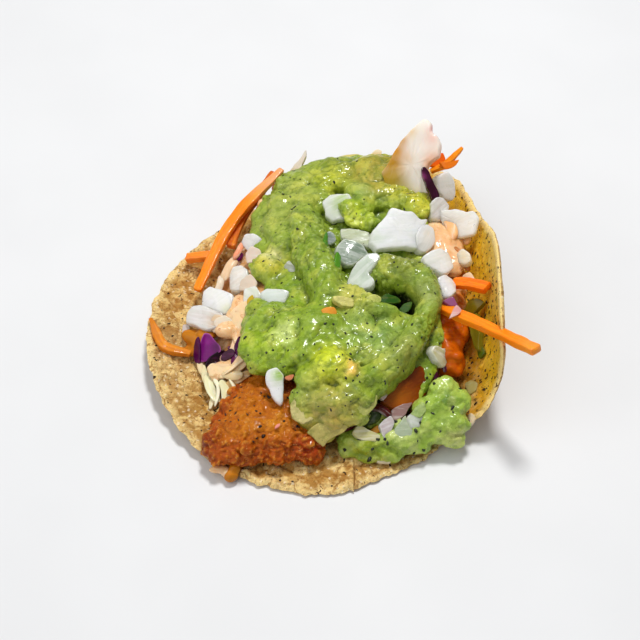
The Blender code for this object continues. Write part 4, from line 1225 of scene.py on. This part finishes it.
def add_slab(name, middle, thickness, facing, turn, cup, colour, outline, material, nodes=(),
             seed=0, rim=None, patches=(), ragged=0.3):
    local, faces, grain, share = slab_mesh(outline, thickness, cup, seed, ragged)
    points = local @ chip_axes(facing, turn).T + np.array(middle)
    piece = new_piece(name, points, faces, material, nodes)
    mark(piece.data, "grain", grain + seed * 9)
    tints = [(near(grain, (u, v, 0), radius) * 1.3, spot) for u, v, radius, spot in patches]
    if rim:
        tints.append((smooth_step((share - 0.88) / 0.10) * 0.7, rim))
    paint(piece.data, "tint", blend_colours(np.tile(colour, (len(points), 1)), tints))
    return subdivided(piece, 1)


def subdivided(piece, levels=2):
    modifier = piece.modifiers.new("round", "SUBSURF")
    modifier.levels = modifier.render_levels = levels
    return piece


def make_onions():
    material = onion_material()
    spots = {
        1: ((0, 3, 6, (0.98, 1.0, 1.0)), (-9, 0, 4, (0.70, 0.78, 0.60)), (7, -4, 3, (0.74, 0.80, 0.66)),
            (3, -3, 2, (0.98, 1.0, 1.0)), (9, 6, 3, (0.96, 0.95, 0.88))),
        3: ((5, 1, 5, (0.40, 0.58, 0.04)),),
        20: ((2, -7, 4, (0.80, 0.78, 0.25)),),
        21: ((7, 1, 5, (0.78, 0.50, 0.26)),),
        23: ((3, -4, 3, (0.55, 0.62, 0.20)),),
        24: ((2, 5, 4, (0.40, 0.62, 0.08)),),
        2: ((2, 2, 3, (0.90, 0.74, 0.58)),),
        14: ((3, 3, 3, (0.92, 0.84, 0.76)),),
        22: ((3, -4, 4, (0.60, 0.60, 0.24)),),
    }
    for number, middle, thickness, facing, turn, cup, colour, outline in ONIONS:
        if number not in (5, 6, 8, 16, 25, 26, 27):
            colour = tuple(value + 0.5 * value * (1 - value) for value in colour)
        # The lighter rim is a painted highlight along the cut edges.
        rim = tuple(0.35 * value + 0.63 * edge for value, edge in zip(colour, (0.98, 0.98, 0.88)))
        add_slab(f"onion_bit_{number:02d}", middle, thickness, facing, turn, cup, colour, outline, material,
                 [f"onion_{number:02d}"], 50 + number, rim, spots.get(number, ()))


# Carrot matchstick: start, middle, end, width, thickness, colour.
ORANGE = (1.0, 0.235, 0.004)
CARROTS = (
    ((-27, 62, 26), (-46, 40, 19), (-59, 8, 13), 4.6, 3.0, ORANGE),
    ((-30, 64, 22), (-42, 46, 16), (-47, 30, 14), 3.6, 2.6, (0.62, 0.13, 0.006)),
    ((-64, 28, 10), (-58, 27, 12), (-52, 28, 12), 3.6, 3.0, (0.90, 0.24, 0.03)),
    ((-76, -4, 11), (-70, -16, 9), (-60, -19, 8), 3.8, 2.6, (0.66, 0.20, 0.006)),
    ((37, -1, 27), (43, -4, 30), (49, -9, 33), 5.0, 2.6, (0.94, 0.16, 0.003)),
    ((32, -13, 27), (46, -28, 34), (62, -49, 45), 4.4, 3.0, (1.0, 0.235, 0.004)),
    ((31, 53, 33), (37, 53, 37), (43, 56, 43), 3.0, 2.0, (1.0, 0.30, 0.006)),
)


def stick_mesh(path, width, thickness, seed, slimness, steps=44, rows=6):
    """A cut stick along a path, thinner where it is slim. Gives its points, faces and grain."""
    path = spline(path, np.linalg.norm(np.array(path[-1]) - np.array(path[0])) / steps)
    heading = np.gradient(path, axis=0)
    heading /= np.linalg.norm(heading, axis=1)[:, None]
    side = np.cross((0, 0, 1), heading)
    side /= np.linalg.norm(side, axis=1)[:, None]
    above = np.cross(heading, side)
    travelled = np.concatenate([[0], np.cumsum(np.linalg.norm(np.diff(path, axis=0), axis=1))])
    edge = [(-1 + 2 * k / rows, -1) for k in range(rows)] + [(1, -1 + 2 * k / rows) for k in range(rows)]
    edge += [(1 - 2 * k / rows, 1) for k in range(rows)] + [(-1, 1 - 2 * k / rows) for k in range(rows)]
    ring = np.array(edge, float)
    ring *= (1 - 0.06 * (abs(ring[:, 0] * ring[:, 1]) ** 2))[:, None]
    points, grain = [], []
    for place, out, up, run in zip(path, side, above, travelled):
        slim = np.interp(run / travelled[-1], (0, 0.3, 0.75, 1), slimness)
        points.append(place + (out * ring[:, :1] * width / 2 + up * ring[:, 1:] * thickness / 2) * slim)
        grain.append(np.stack([np.full(len(ring), run), ring[:, 0] * width / 2,
                               ring[:, 1] * thickness / 2], axis=1))
    points, grain = np.vstack(points), np.vstack(grain)
    points += 0.30 * shake(grain, 6, seed)
    points += 0.14 * shake(grain, 1.5, seed + 3)
    around, count = len(ring), len(path)
    faces = [[row * around + column, row * around + (column + 1) % around,
              (row + 1) * around + (column + 1) % around, (row + 1) * around + column]
             for row in range(count - 1) for column in range(around)]
    faces = [face[::-1] for face in faces]
    faces.append(list(range(around)))
    faces.append([(count - 1) * around + column for column in reversed(range(around))])
    return points, faces, grain


# How wide some sticks are at four places along them, as a part of their width.
SLIMNESS = {1: (0.55, 1, 0.9, 0.7), 4: (0.35, 0.9, 1.0, 0.6), 7: (0.7, 1, 0.8, 0.35)}


def make_carrots():
    material = carrot_material()
    for number, (start, middle, end, width, thickness, colour) in enumerate(CARROTS, 1):
        slimness = SLIMNESS.get(number, (1, 1, 1, 1))
        points, faces, grain = stick_mesh((start, middle, end), width, thickness, 80 + number, slimness)
        name = f"carrot_stick_{number:02d}"
        piece = new_piece(name, points, faces, material, [f"carrot_{number:02d}"])
        mark(piece.data, "grain", grain + number * 30)
        tints = []
        if number == 1:
            tints = [(smooth_step((22 - grain[:, 0]) / 14) * 0.8, (0.95, 0.42, 0.20))]
        if number == 6:
            tints = [(smooth_step((grain[:, 0] - 40) / 8) * 0.5, (0.95, 0.36, 0.06))]
        paint(piece.data, "tint", blend_colours(np.tile(colour, (len(points), 1)), tints))
        subdivided(piece, 1)


# Cabbage and pepper: name, node, slot, finish, middle, thickness, direction, turn, cup, colour, rim,
# patches (u, v, radius, colour), outline.
SLABS = (
    ("leaf_white", "cabbage_leaf", "white_cabbage", "leaf", (25, 49, 40), 3.2, (-3, -8, 6), 74, 2.2,
     (1.0, 0.90, 0.80), None,
     ((12, -3, 4, (0.96, 0.66, 0.56)), (5, -6, 5, (0.94, 0.62, 0.48)), (15, -1, 1.8, (0.86, 0.30, 0.26)),
      (2, -6, 4, (0.94, 0.42, 0.16)), (12, 5, 3, (0.88, 0.66, 0.36)), (8, 8, 3.6, (0.66, 0.32, 0.05)),
      (3, 9, 5, (0.70, 0.30, 0.02)), (-2, 9, 6, (0.66, 0.30, 0.015)), (2, 3, 2.4, (0.74, 0.44, 0.14)),
      (-8, 8, 8, (0.60, 0.34, 0.02)), (-14, 4, 9, (0.50, 0.42, 0.045)), (-16, -3, 7, (0.62, 0.50, 0.10)),
      (-6, -2, 3, (1.0, 0.95, 0.90))),
     ((18, 2), (17, -1), (14, -2), (13, -5), (11, -7), (6, -8), (2, -5), (-4, -5), (-9, -8), (-14, -7),
      (-16, 2), (-13, 8), (-7, 12), (-2, 10), (3, 9), (7, 8), (11, 6), (15, 4))),
    ("leaf_spike", "cabbage_spike", "white_cabbage", "white", (-20, 66, 25), 1.8, (-2, -7, 7), 47, 0.4,
     (0.86, 0.74, 0.62), None, ((-6, -1, 4, (0.78, 0.54, 0.22)),),
     ((6, 2), (4, 0), (0, -1), (-2, -3), (-8, -3), (-9, 0), (-5, 1), (1, 1))),
    ("leaf_fold", "cabbage_fold", "white_cabbage", "white", (10, 70, 26), 2.2, (0, -5, 9), 10, 0.8,
     (0.88, 0.66, 0.36), (0.93, 0.82, 0.62), ((-3, -3, 4, (0.55, 0.52, 0.12)),),
     ((-7, -3), (-3, 0), (1, 2), (3, 1), (2, -2), (4, -4), (1, -5), (-3, -5))),
    ("red_strip", "red_cabbage_strip", "red_cabbage", "red", (32, 42, 37), 2.2, (4, -5, 8), 100, 0.6,
     (0.030, 0.0012, 0.010), None, ((3, 5, 2, (0.25, 0.03, 0.14)),),
     ((6, 5), (7, 3), (5, 2), (1, 1), (-5, -1), (-9, 1), (-8, 2), (-2, 4), (4, 5))),
    ("red_leaf", "red_cabbage_left", "red_cabbage", "red", (-53, -18.5, 11), 1.0, (-1, -6, 7), -8, -1.6,
     (0.19, 0.001, 0.17), (0.46, 0.12, 0.40),
     ((3, 0, 3, (0.10, 0.001, 0.09)), (-1, 2, 1.5, (0.30, 0.006, 0.27))),
     ((-3, 5), (-1, 5), (4, 1), (5, -1), (3, -2), (-1, -6), (-3, -6), (-4, -1))),
    # Painted shade: the salsa's shadow is painted into this pepper's dark colour and its two near-black
    # patches; the lighter patch is the part out of that shade.
    ("pepper_amber", "pepper_orange", "sweet_pepper", "amber", (21, -42, 14), 5.0, (3, -5, 7), 25, 1.6,
     (0.25, 0.045, 0.002), None, ((-6, 0, 6, (0.44, 0.12, 0.006)), (5, 3, 4, (0.10, 0.014, 0.002)),
      (0, 5, 4, (0.07, 0.010, 0.002))),
     ((-14, 1), (-10, 3), (-5, 6), (1, 7), (6, 7), (8, 4), (6, 0), (4, -3), (0, -4), (-4, -5), (-9, -5),
      (-12, -2))),
    ("pepper_olive", "pepper_green", "green_pepper", "olive", (43, -18, 20), 2.4, (-7, -2, 6), 80, 0.8,
     (0.20, 0.17, 0.008), None, ((0, 0, 4, (0.26, 0.22, 0.01)),),
     ((-9, -6), (-8, -4), (0, -1), (6, 2), (9, 3), (9, 0), (5, -4), (-2, -6))),
)

# Smaller pieces that have no part of their own: finish, middle, thickness, direction, cup, colour, outline.
EXTRAS = (
    ("cream", (-42, -11, 18.3), 1.6, (-3, -5, 8), 1.2, (0.98, 0.66, 0.36),
     ((-6, -1), (-3, 3), (1, 6), (3, 7), (4, 2), (4, -5), (2, -9), (0, -7), (-1, -4), (-4, -4))),
    ("cream", (-45, -28.5, 12.6), 1.6, (-2, -5, 8), 0.8, (1.0, 0.70, 0.38),
     ((7, 8), (5, 3), (2, 0), (-3, -1), (-7, 1), (-9, -1), (-8, -4), (-3, -5), (2, -4), (6, -1), (8, 4))),
    ("red", (-57.5, -19, 9), 1.0, (-7, -4, 4), 0.4, (0.07, 0.001, 0.06),
     ((-3, 0), (-1, 4), (1, 6), (2, 2), (2, -4), (0, -5), (-2, -3))),
    ("white", (-48, -12, 15.5), 1.4, (-3, -6, 7), 0.5, (0.96, 0.80, 0.62),
     ((-4, 1), (-3, 3), (1, 4), (4, 2), (3, -1), (0, -3), (-3, -2))),
    ("white", (-49, -11, 15), 1.6, (-3, -6, 7), 0.6, (0.84, 0.62, 0.40),
     ((-5, 1), (-2, 4), (3, 3), (5, 0), (2, -3), (-3, -3))),
    ("amber", (-38, -9, 21), 1.2, (-3, -5, 7), 0.4, (0.60, 0.40, 0.02),
     ((-1, -5), (-2, -1), (-1, 4), (1, 6), (2, 3), (1, -1), (1, -4))),
    ("white", (-37, 18, 21.5), 2.0, (-4, -5, 7), 0.6, (0.86, 0.70, 0.58),
     ((-3, -3), (-4, 1), (-1, 4), (3, 2), (3, -2))),
    ("white", (-39, 4, 20.5), 2.4, (-4, -5, 7), 0.6, (0.80, 0.66, 0.52),
     ((-4, -2), (-3, 2), (1, 4), (4, 1), (3, -3))),
    ("white", (43, 2, 25.5), 1.8, (-5, -4, 7), 0.4, (0.90, 0.66, 0.42),
     ((-3, -2), (-2, 2), (1, 3), (3, 0), (1, -3))),
    # Purple cabbage painted near black: painted shade in the gap here.
    ("red", (-50, -22, 8.0), 1.6, (1, -7, 6), 0.2, (0.012, 0.0004, 0.006),
     ((-5, -2), (-3, 1), (0, 3), (2, 4), (4, 2), (4, 0), (1, -3), (-3, -4))),
    ("red", (-42, -22, 15.5), 1.4, (-6, -4, 5), 0.3, (0.07, 0.001, 0.05),
     ((-1, -3), (-2, 0), (0, 3), (1, 4), (1, 1), (1, -3))),
    ("white", (-47, -23, 9.5), 2.4, (0, -5, 8), 0.4, (0.46, 0.26, 0.20),
     ((-2, -1), (-2, 1), (1, 2), (2, 0), (1, -2))),
    ("white", (-47, -8, 14.5), 1.6, (-3, -5, 7), 0.5, (0.84, 0.64, 0.42),
     ((-6, 2), (-2, 4), (4, 3), (5, 0), (1, -3), (-3, -3))),
    ("white", (-43, -34, 10.5), 1.2, (-2, -5, 7), 0.8, (0.70, 0.44, 0.16),
     ((-5, -3), (-3, 0), (1, 2), (5, 4), (6, 2), (2, -1), (-2, -3))),
    ("olive", (-10, 12, 33.5), 1.0, (4, -3, 8), 0.6, (0.07, 0.26, 0.012),
     ((-1, -5), (-1, 1), (0, 6), (1, 4), (1, -1), (1, -4))),
    ("olive", (-6, 3, 33.5), 1.0, (4, -2, 7), 0.6, (0.10, 0.32, 0.014),
     ((-2, -4), (-1, 0), (0, 5), (2, 3), (1, -2), (0, -5))),
    ("olive", (14, -9, 27), 1.2, (0, -4, 8), 0.6, (0.03, 0.12, 0.006),
     ((-5, 0), (-2, 2), (2, 1), (4, -1), (1, -2), (-3, -2))),
    ("olive", (19, -12, 26), 1.2, (-2, -5, 8), 0.6, (0.05, 0.14, 0.008),
     ((-3, -2), (-1, 1), (3, 2), (2, -1), (-1, -3))),
    ("amber", (32, 57, 36.5), 1.4, (0, -6, 7), 0.8, (0.90, 0.16, 0.008),
     ((-5, 3), (-2, 4), (0, 0), (4, 2), (5, -1), (1, -4), (-3, -3))),
    ("amber", (38, 52, 37.5), 1.4, (0, -6, 7), 0.3, (0.92, 0.22, 0.01),
     ((-4, 1), (0, 1), (4, 2), (2, -1), (-2, -2))),
    ("coated", (-17, -54, 20), 1.6, (-2, -6, 7), 0.6, (0.62, 0.54, 0.20),
     ((-5, -4), (-6, 1), (-3, 4), (1, 4), (4, 1), (3, -4), (-1, -6))),
    ("coated", (-9, -59.5, 15.6), 1.6, (0, -7, 6), 0.6, (0.50, 0.42, 0.12),
     ((-8, -2), (-4, 2), (2, 3), (7, 1), (5, -2), (0, -4), (-2, -7), (-5, -4))),
    ("coated", (2, -54, 21.5), 1.8, (2, -6, 7), 0.8, (0.60, 0.58, 0.18),
     ((-4, -3), (-3, 2), (1, 5), (6, 4), (6, 0), (2, -4))),
    ("olive", (44, -12, 24), 2.2, (-7, -3, 6), 0.8, (0.22, 0.16, 0.006),
     ((-6, -4), (-4, 0), (-1, 4), (3, 4), (6, 2), (3, 0), (0, -3))),
    ("olive", (46, -27, 18.5), 1.6, (-7, -3, 6), 0.3, (0.09, 0.13, 0.004),
     ((0, -3), (-1, 0), (-2, 2), (0, 3), (2, 1), (3, -1))),
    ("red", (35, -13, 30), 2.4, (0, -5, 8), 0.2, (0.30, 0.09, 0.22),
     ((-3, 0), (-1, 1), (1, 2), (3, -2), (0, -2))),
    ("white", (37, -20, 33), 1.2, (0, -5, 8), 0.2, (0.80, 0.42, 0.40),
     ((-3, -3), (-1, 1), (0, 2), (2, 0), (0, -2))),
    ("olive", (30, -19, 25), 2.2, (2, -6, 6), 0.8, (0.26, 0.27, 0.02),
     ((-2, 0), (-2, 4), (0, 6), (1, 7), (1, 2), (0, -1), (2, -2), (4, -5), (2, -7), (0, -6))),
    # Near black green: painted shade in the gap here.
    ("olive", (5, -53, 11), 3.0, (-1, -5, 7), 0.8, (0.05, 0.10, 0.005),
     ((-6, -2), (-5, 1), (-2, 3), (2, 4), (5, 3), (4, 0), (0, -2), (-3, -3))),
    ("white", (10, -48, 19), 2.0, (0, -5, 7), 0.2, (0.58, 0.44, 0.40), ((-2, 0), (0, 2), (2, 0), (0, -2))),
    ("white", (16, -51, 13), 1.6, (1, -4, 8), 0.4, (0.34, 0.20, 0.18),
     ((-3, 1), (1, 3), (5, 4), (2, -1), (-1, -3), (-3, -3))),
    ("amber", (9, -55, 9), 2.4, (0, -3, 8), 0.3, (0.55, 0.24, 0.02),
     ((-4, -1), (-1, 1), (3, 1), (3, -2), (-2, -2))),
    ("white", (4, -59.5, 10.8), 2.4, (0, -5, 7), 0.6, (0.62, 0.58, 0.27),
     ((-5, 1), (-3, 4), (-1, 3), (5, 0), (5, -2), (0, -2), (-3, -1))),
    ("white", (17, -58.5, 11.8), 2.2, (0, -6, 7), 0.4, (0.46, 0.54, 0.36),
     ((-3, -3), (-3, 1), (1, 6), (2, 2), (4, 0), (3, -3), (0, -4))),
    ("coated", (22.5, -52, 16), 2.2, (-1, -6, 7), 0.6, (0.42, 0.54, 0.18),
     ((-3, -2), (-1, 1), (2, 3), (3, 0), (1, -3))),
    ("white", (10, -65, 3.6), 1.4, (0, -2, 8), 0.2, (0.80, 0.70, 0.48),
     ((-4, 1), (-1, 2), (4, 1), (3, -1), (-1, -1))),
    ("white", (-62, -8, 8.5), 1.8, (-3, -4, 8), 0.3, (0.66, 0.58, 0.52),
     ((-2, -2), (-2, 2), (1, 2), (1, -2))),
    # Purple cabbage painted darker still: painted shade in the gap here.
    ("red", (-46, -23.5, 13), 1.4, (-3, -4, 8), 0.2, (0.045, 0.002, 0.022),
     ((-3, -2), (-2, 0), (1, 2), (3, 1), (3, -1), (1, -2), (-1, -3))),
    ("white", (-48, -25, 10.5), 2.0, (-3, -4, 8), 0.2, (0.42, 0.24, 0.16),
     ((-1, 0), (-1, 2), (1, 2), (2, 0), (0, -1))),
    ("coated", (-4, -16, 33), 2.6, (0, -5, 8), 0.5, (0.70, 0.64, 0.20),
     ((-4, 2), (-1, 2), (4, 1), (4, -2), (0, -2), (-3, 0))),
    ("coated", (7, -15, 33), 2.2, (1, -5, 8), 0.5, (0.60, 0.62, 0.16),
     ((-3, 1), (0, 2), (3, 1), (3, -1), (-1, -2))),
    ("amber", (-9, -20, 31.5), 2.6, (0, -5, 8), 0.6, (0.82, 0.34, 0.04),
     ((-3, 1), (-1, 2), (2, 2), (3, 0), (1, -2), (-2, -2))),
    ("amber", (-23, -44, 24.5), 1.0, (0, -5, 8), 0.1, (0.62, 0.22, 0.10),
     ((-2, 0), (1, 1), (2, 1), (1, -1), (-1, -1))),
    ("amber", (-27, -59, 15.6), 1.0, (0, -3, 8), 0.1, (0.86, 0.32, 0.26),
     ((-1, 0), (0, 1), (1, 1), (1, 0), (-1, -1))),
    ("white", (43, -38, 11), 2.0, (-6, -2, 7), 0.3, (0.56, 0.46, 0.16),
     ((-3, 2), (0, 3), (3, 1), (2, -2), (-1, -3))),
    ("white", (42, -51, 8.5), 1.6, (-4, -4, 8), 0.3, (0.86, 0.66, 0.42),
     ((-1, -2), (-2, 1), (0, 3), (2, 1), (1, -1))),
)


def make_slabs(green, peach):
    finishes = {
        "cream": peach,
        "coated": green,
        "leaf": painted_material("leaf_flesh", veining=0.05, clear=0.05, depth=0.2),
        "white": painted_material("cabbage_flesh", veining=0.35, clear=0.08),
        "red": painted_material("purple_leaf", vein=(0.26, 0.02, 0.20), veining=0.2, rough=0.2),
        "amber": painted_material("amber_pepper", vein=(0.5, 0.16, 0.01), veining=0.2, rough=0.2, coat=0.3),
        "olive": painted_material("olive_pepper", vein=(0.36, 0.32, 0.03), veining=0.25, rough=0.15,
                                  clear=0.2),
    }
    for index, (name, node, slot, finish, middle, thickness, facing, turn, cup, colour, rim, patches,
                outline) in enumerate(SLABS):
        add_slab(name, middle, thickness, facing, turn, cup, colour, outline, finishes[finish], [node],
                 110 + index, rim, patches)
    for index, (finish, middle, thickness, facing, cup, colour, outline) in enumerate(EXTRAS):
        add_slab(f"extra_{finish}_{index:02d}", middle, thickness, facing, 0, cup, colour, outline,
                 finishes[finish], seed=150 + index)


# Sauces: drops (x, y, z and radii) and strokes (x, y, z, radius) that run together, and their colours: their
# own, then a darker one that is painted shade in their dips.
SAUCES = (
    ("peach_sauce", "cream", (0.86, 0.53, 0.26), (0.58, 0.21, 0.04),
     ((-42, -4, 18, 3.5, 5, 2.6), (-43, -8, 17.5, 4, 4, 2.6), (-46, -14, 15.5, 5, 4, 2.6),
      (-47, -11, 13, 5, 4, 2.2), (-47, -28, 10.5, 5, 3.6, 1.8), (-50, -30, 9, 3, 3, 1.8),
      (33, 20, 25.5, 8, 12, 4), (37, 13, 24, 6, 7, 3.6), (39, 22, 24, 4, 9, 3.2),
      (-48, -69, 3.6, 4, 1.6, 1.4), (-45, -70, 3, 2, 1.4, 1.4)),
     (((-39, -3, 19, 2), (-39, -10, 17.8, 2.8), (-40, -17, 16.4, 2.0), (-39, -23, 15.4, 1.4),
       (-41, -27, 13.6, 1.5), (-44, -30, 11.2, 1.8), (-49, -30, 9.0, 1.4)),
      ((-43, -14, 16, 2.0), (-43, -19, 15, 1.4), (-43, -22, 14, 0.9)),
      ((-34, 47, 20, 3), (-32, 38, 21, 3), (-31, 30, 22, 2)),
      ((-28, 56, 21, 3), (-20, 62, 22, 3), (-10, 66, 22.5, 2.5)))),
    ("brown_glaze", "flesh", (0.50, 0.18, 0.010), (0.34, 0.08, 0.004),
     ((-59, -11, 8.5, 5, 4, 2), (-56, -15, 8, 4, 4, 2.4), (-60, -16, 6.5, 4, 3, 1.6), (-54, -11, 11, 4, 4, 2),
      (-43, -71, 2.6, 2.6, 2.2, 2.2), (-42, -69, 4, 2, 2, 1.6)),
     ()),
    ("tomato_pulp", "flesh", (0.58, 0.105, 0.001), (0.20, 0.014, 0.001),
     ((37, -16, 18, 6, 9, 5), (34, -23, 17, 6, 9, 6), (36, -29, 14, 5, 6, 5), (34, -12, 22, 5, 7, 4),
      (38, -23, 20, 3, 3, 3), (36, -15, 22, 3.4, 3, 2.6), (35, -20, 22, 2.6, 2.4, 2.4),
      (37, -29, 18, 2.6, 3, 2.4)), ()),
)


PULP_LUMPS = 1.7


def make_sauces(dressing):
    flesh = painted_material("tomato_flesh", vein=(0.80, 0.24, 0.004), veining=0.4, rough=0.35, coat=0.25)
    for number, (name, kind, base, dips, drops, strokes) in enumerate(SAUCES):
        points, faces = blob_cloud(drops, strokes)
        skin = melt_together(name, warp(points, 5, 0.8, 61 + number), faces, 0.45, 14)
        points, normals = mesh_points(skin), mesh_normals(skin)
        fold = np.sqrt(abs(field(warp(points, 4, 1.5, 64), 4.5, 65))) - 0.45
        lumpy = PULP_LUMPS if name == "tomato_pulp" else 1
        points = points + normals * (lumpy * (0.35 * fold + 0.5 * field(points, 5, 68)))[:, None]
        set_points(skin, points)
        humps = bulge(skin, points, mesh_normals(skin), 10)
        colours = blend_colours(np.tile(base, (len(points), 1)), (
            (smooth_step((field(points, 4, 67) - 0.05) / 0.3) * 0.5,
             tuple(0.5 * (a + b) for a, b in zip(base, dips))),
            # Darker in the dips: painted shade.
            (smooth_step(-humps / 0.5) * 0.8, dips),
            (near(points, (-38, -7, 21), 3.5) * 1.3, (0.66, 0.42, 0.03)),
            (near(points, (-39, -27, 15), 3.5) * 1.3, (0.62, 0.24, 0.02)),
            (near(points, (-47, -31, 11), 2.5), (0.74, 0.36, 0.10)),
            (near(points, (37, 16, 27), 12), (0.84, 0.44, 0.19)),
        ))
        paint(skin, "tint", colours)
        if kind == "flesh":
            mark(skin, "grain", points)
        place_piece(name, skin, flesh if kind == "flesh" else dressing)


# ---------------------------------------------------------------- stage


FLOOR_SIZE = 6
FLOOR_COLOURS = ((0.76, 0.763, 0.767), (0.78, 0.783, 0.787))
STUDIO_COLOUR = (0.97, 0.98, 1.0, 1)
STUDIO_STRENGTH = 0.28
# Lights: name, place, energy, size across.
LIGHTS = (("key", (0.10, 0.30, 0.95), 7.0, 0.20), ("fill", (-0.75, -0.40, 0.90), 7.7, 1.8))


def area_light(name, place, energy, size, aim=(0, 0, 0.02), colour=(1, 1, 1)):
    light = bpy.data.lights.new(name, "AREA")
    light.shape = "DISK"
    light.size = size
    light.energy = energy
    light.color = colour
    lamp = bpy.data.objects.new(name, light)
    bpy.context.scene.collection.objects.link(lamp)
    lamp.location = place
    lamp.rotation_euler = (Vector(aim) - Vector(place)).to_track_quat("-Z", "Y").to_euler()


def make_stage():
    bpy.ops.mesh.primitive_plane_add(size=FLOOR_SIZE)
    floor = bpy.context.object
    floor.name = "floor"
    shader = Shader("pale_floor")
    faint = shader.window(shader.grain(60, shader.place(), 2), 0.3, 0.7)
    colour = shader.mix(faint, *FLOOR_COLOURS)
    floor.data.materials.append(shader.finish(Base_Color=colour, Roughness=0.6))

    world = bpy.data.worlds.new("studio")
    world.use_nodes = True
    world.node_tree.nodes["Background"].inputs["Color"].default_value = STUDIO_COLOUR
    world.node_tree.nodes["Background"].inputs["Strength"].default_value = STUDIO_STRENGTH
    bpy.context.scene.world = world
    for light in LIGHTS:
        area_light(*light)
    bpy.context.scene.view_settings.view_transform = "Standard"


def make_camera():
    data = bpy.data.cameras.new("camera")
    data.lens = CAMERA_LENS
    data.sensor_width = SENSOR_WIDTH
    camera = bpy.data.objects.new("camera", data)
    bpy.context.scene.collection.objects.link(camera)
    back = Vector((0, -math.cos(CAMERA_ELEVATION), math.sin(CAMERA_ELEVATION)))
    target = (Vector(LOOK_AT) + Vector(FOLD_MIDDLE)) * MM
    camera.location = target + back * CAMERA_DISTANCE * MM
    camera.rotation_euler = (math.pi / 2 - CAMERA_ELEVATION, 0, 0)
    bpy.context.scene.camera = camera


make_tortilla()
green = salsa_material()
make_salsa(green)
make_dollop(green)
make_fish()
peach = dressing_material()
make_slaw(peach)
make_shreds()
make_sauces(peach)
make_onions()
make_carrots()
make_slabs(green, peach)
make_stage()
make_camera()
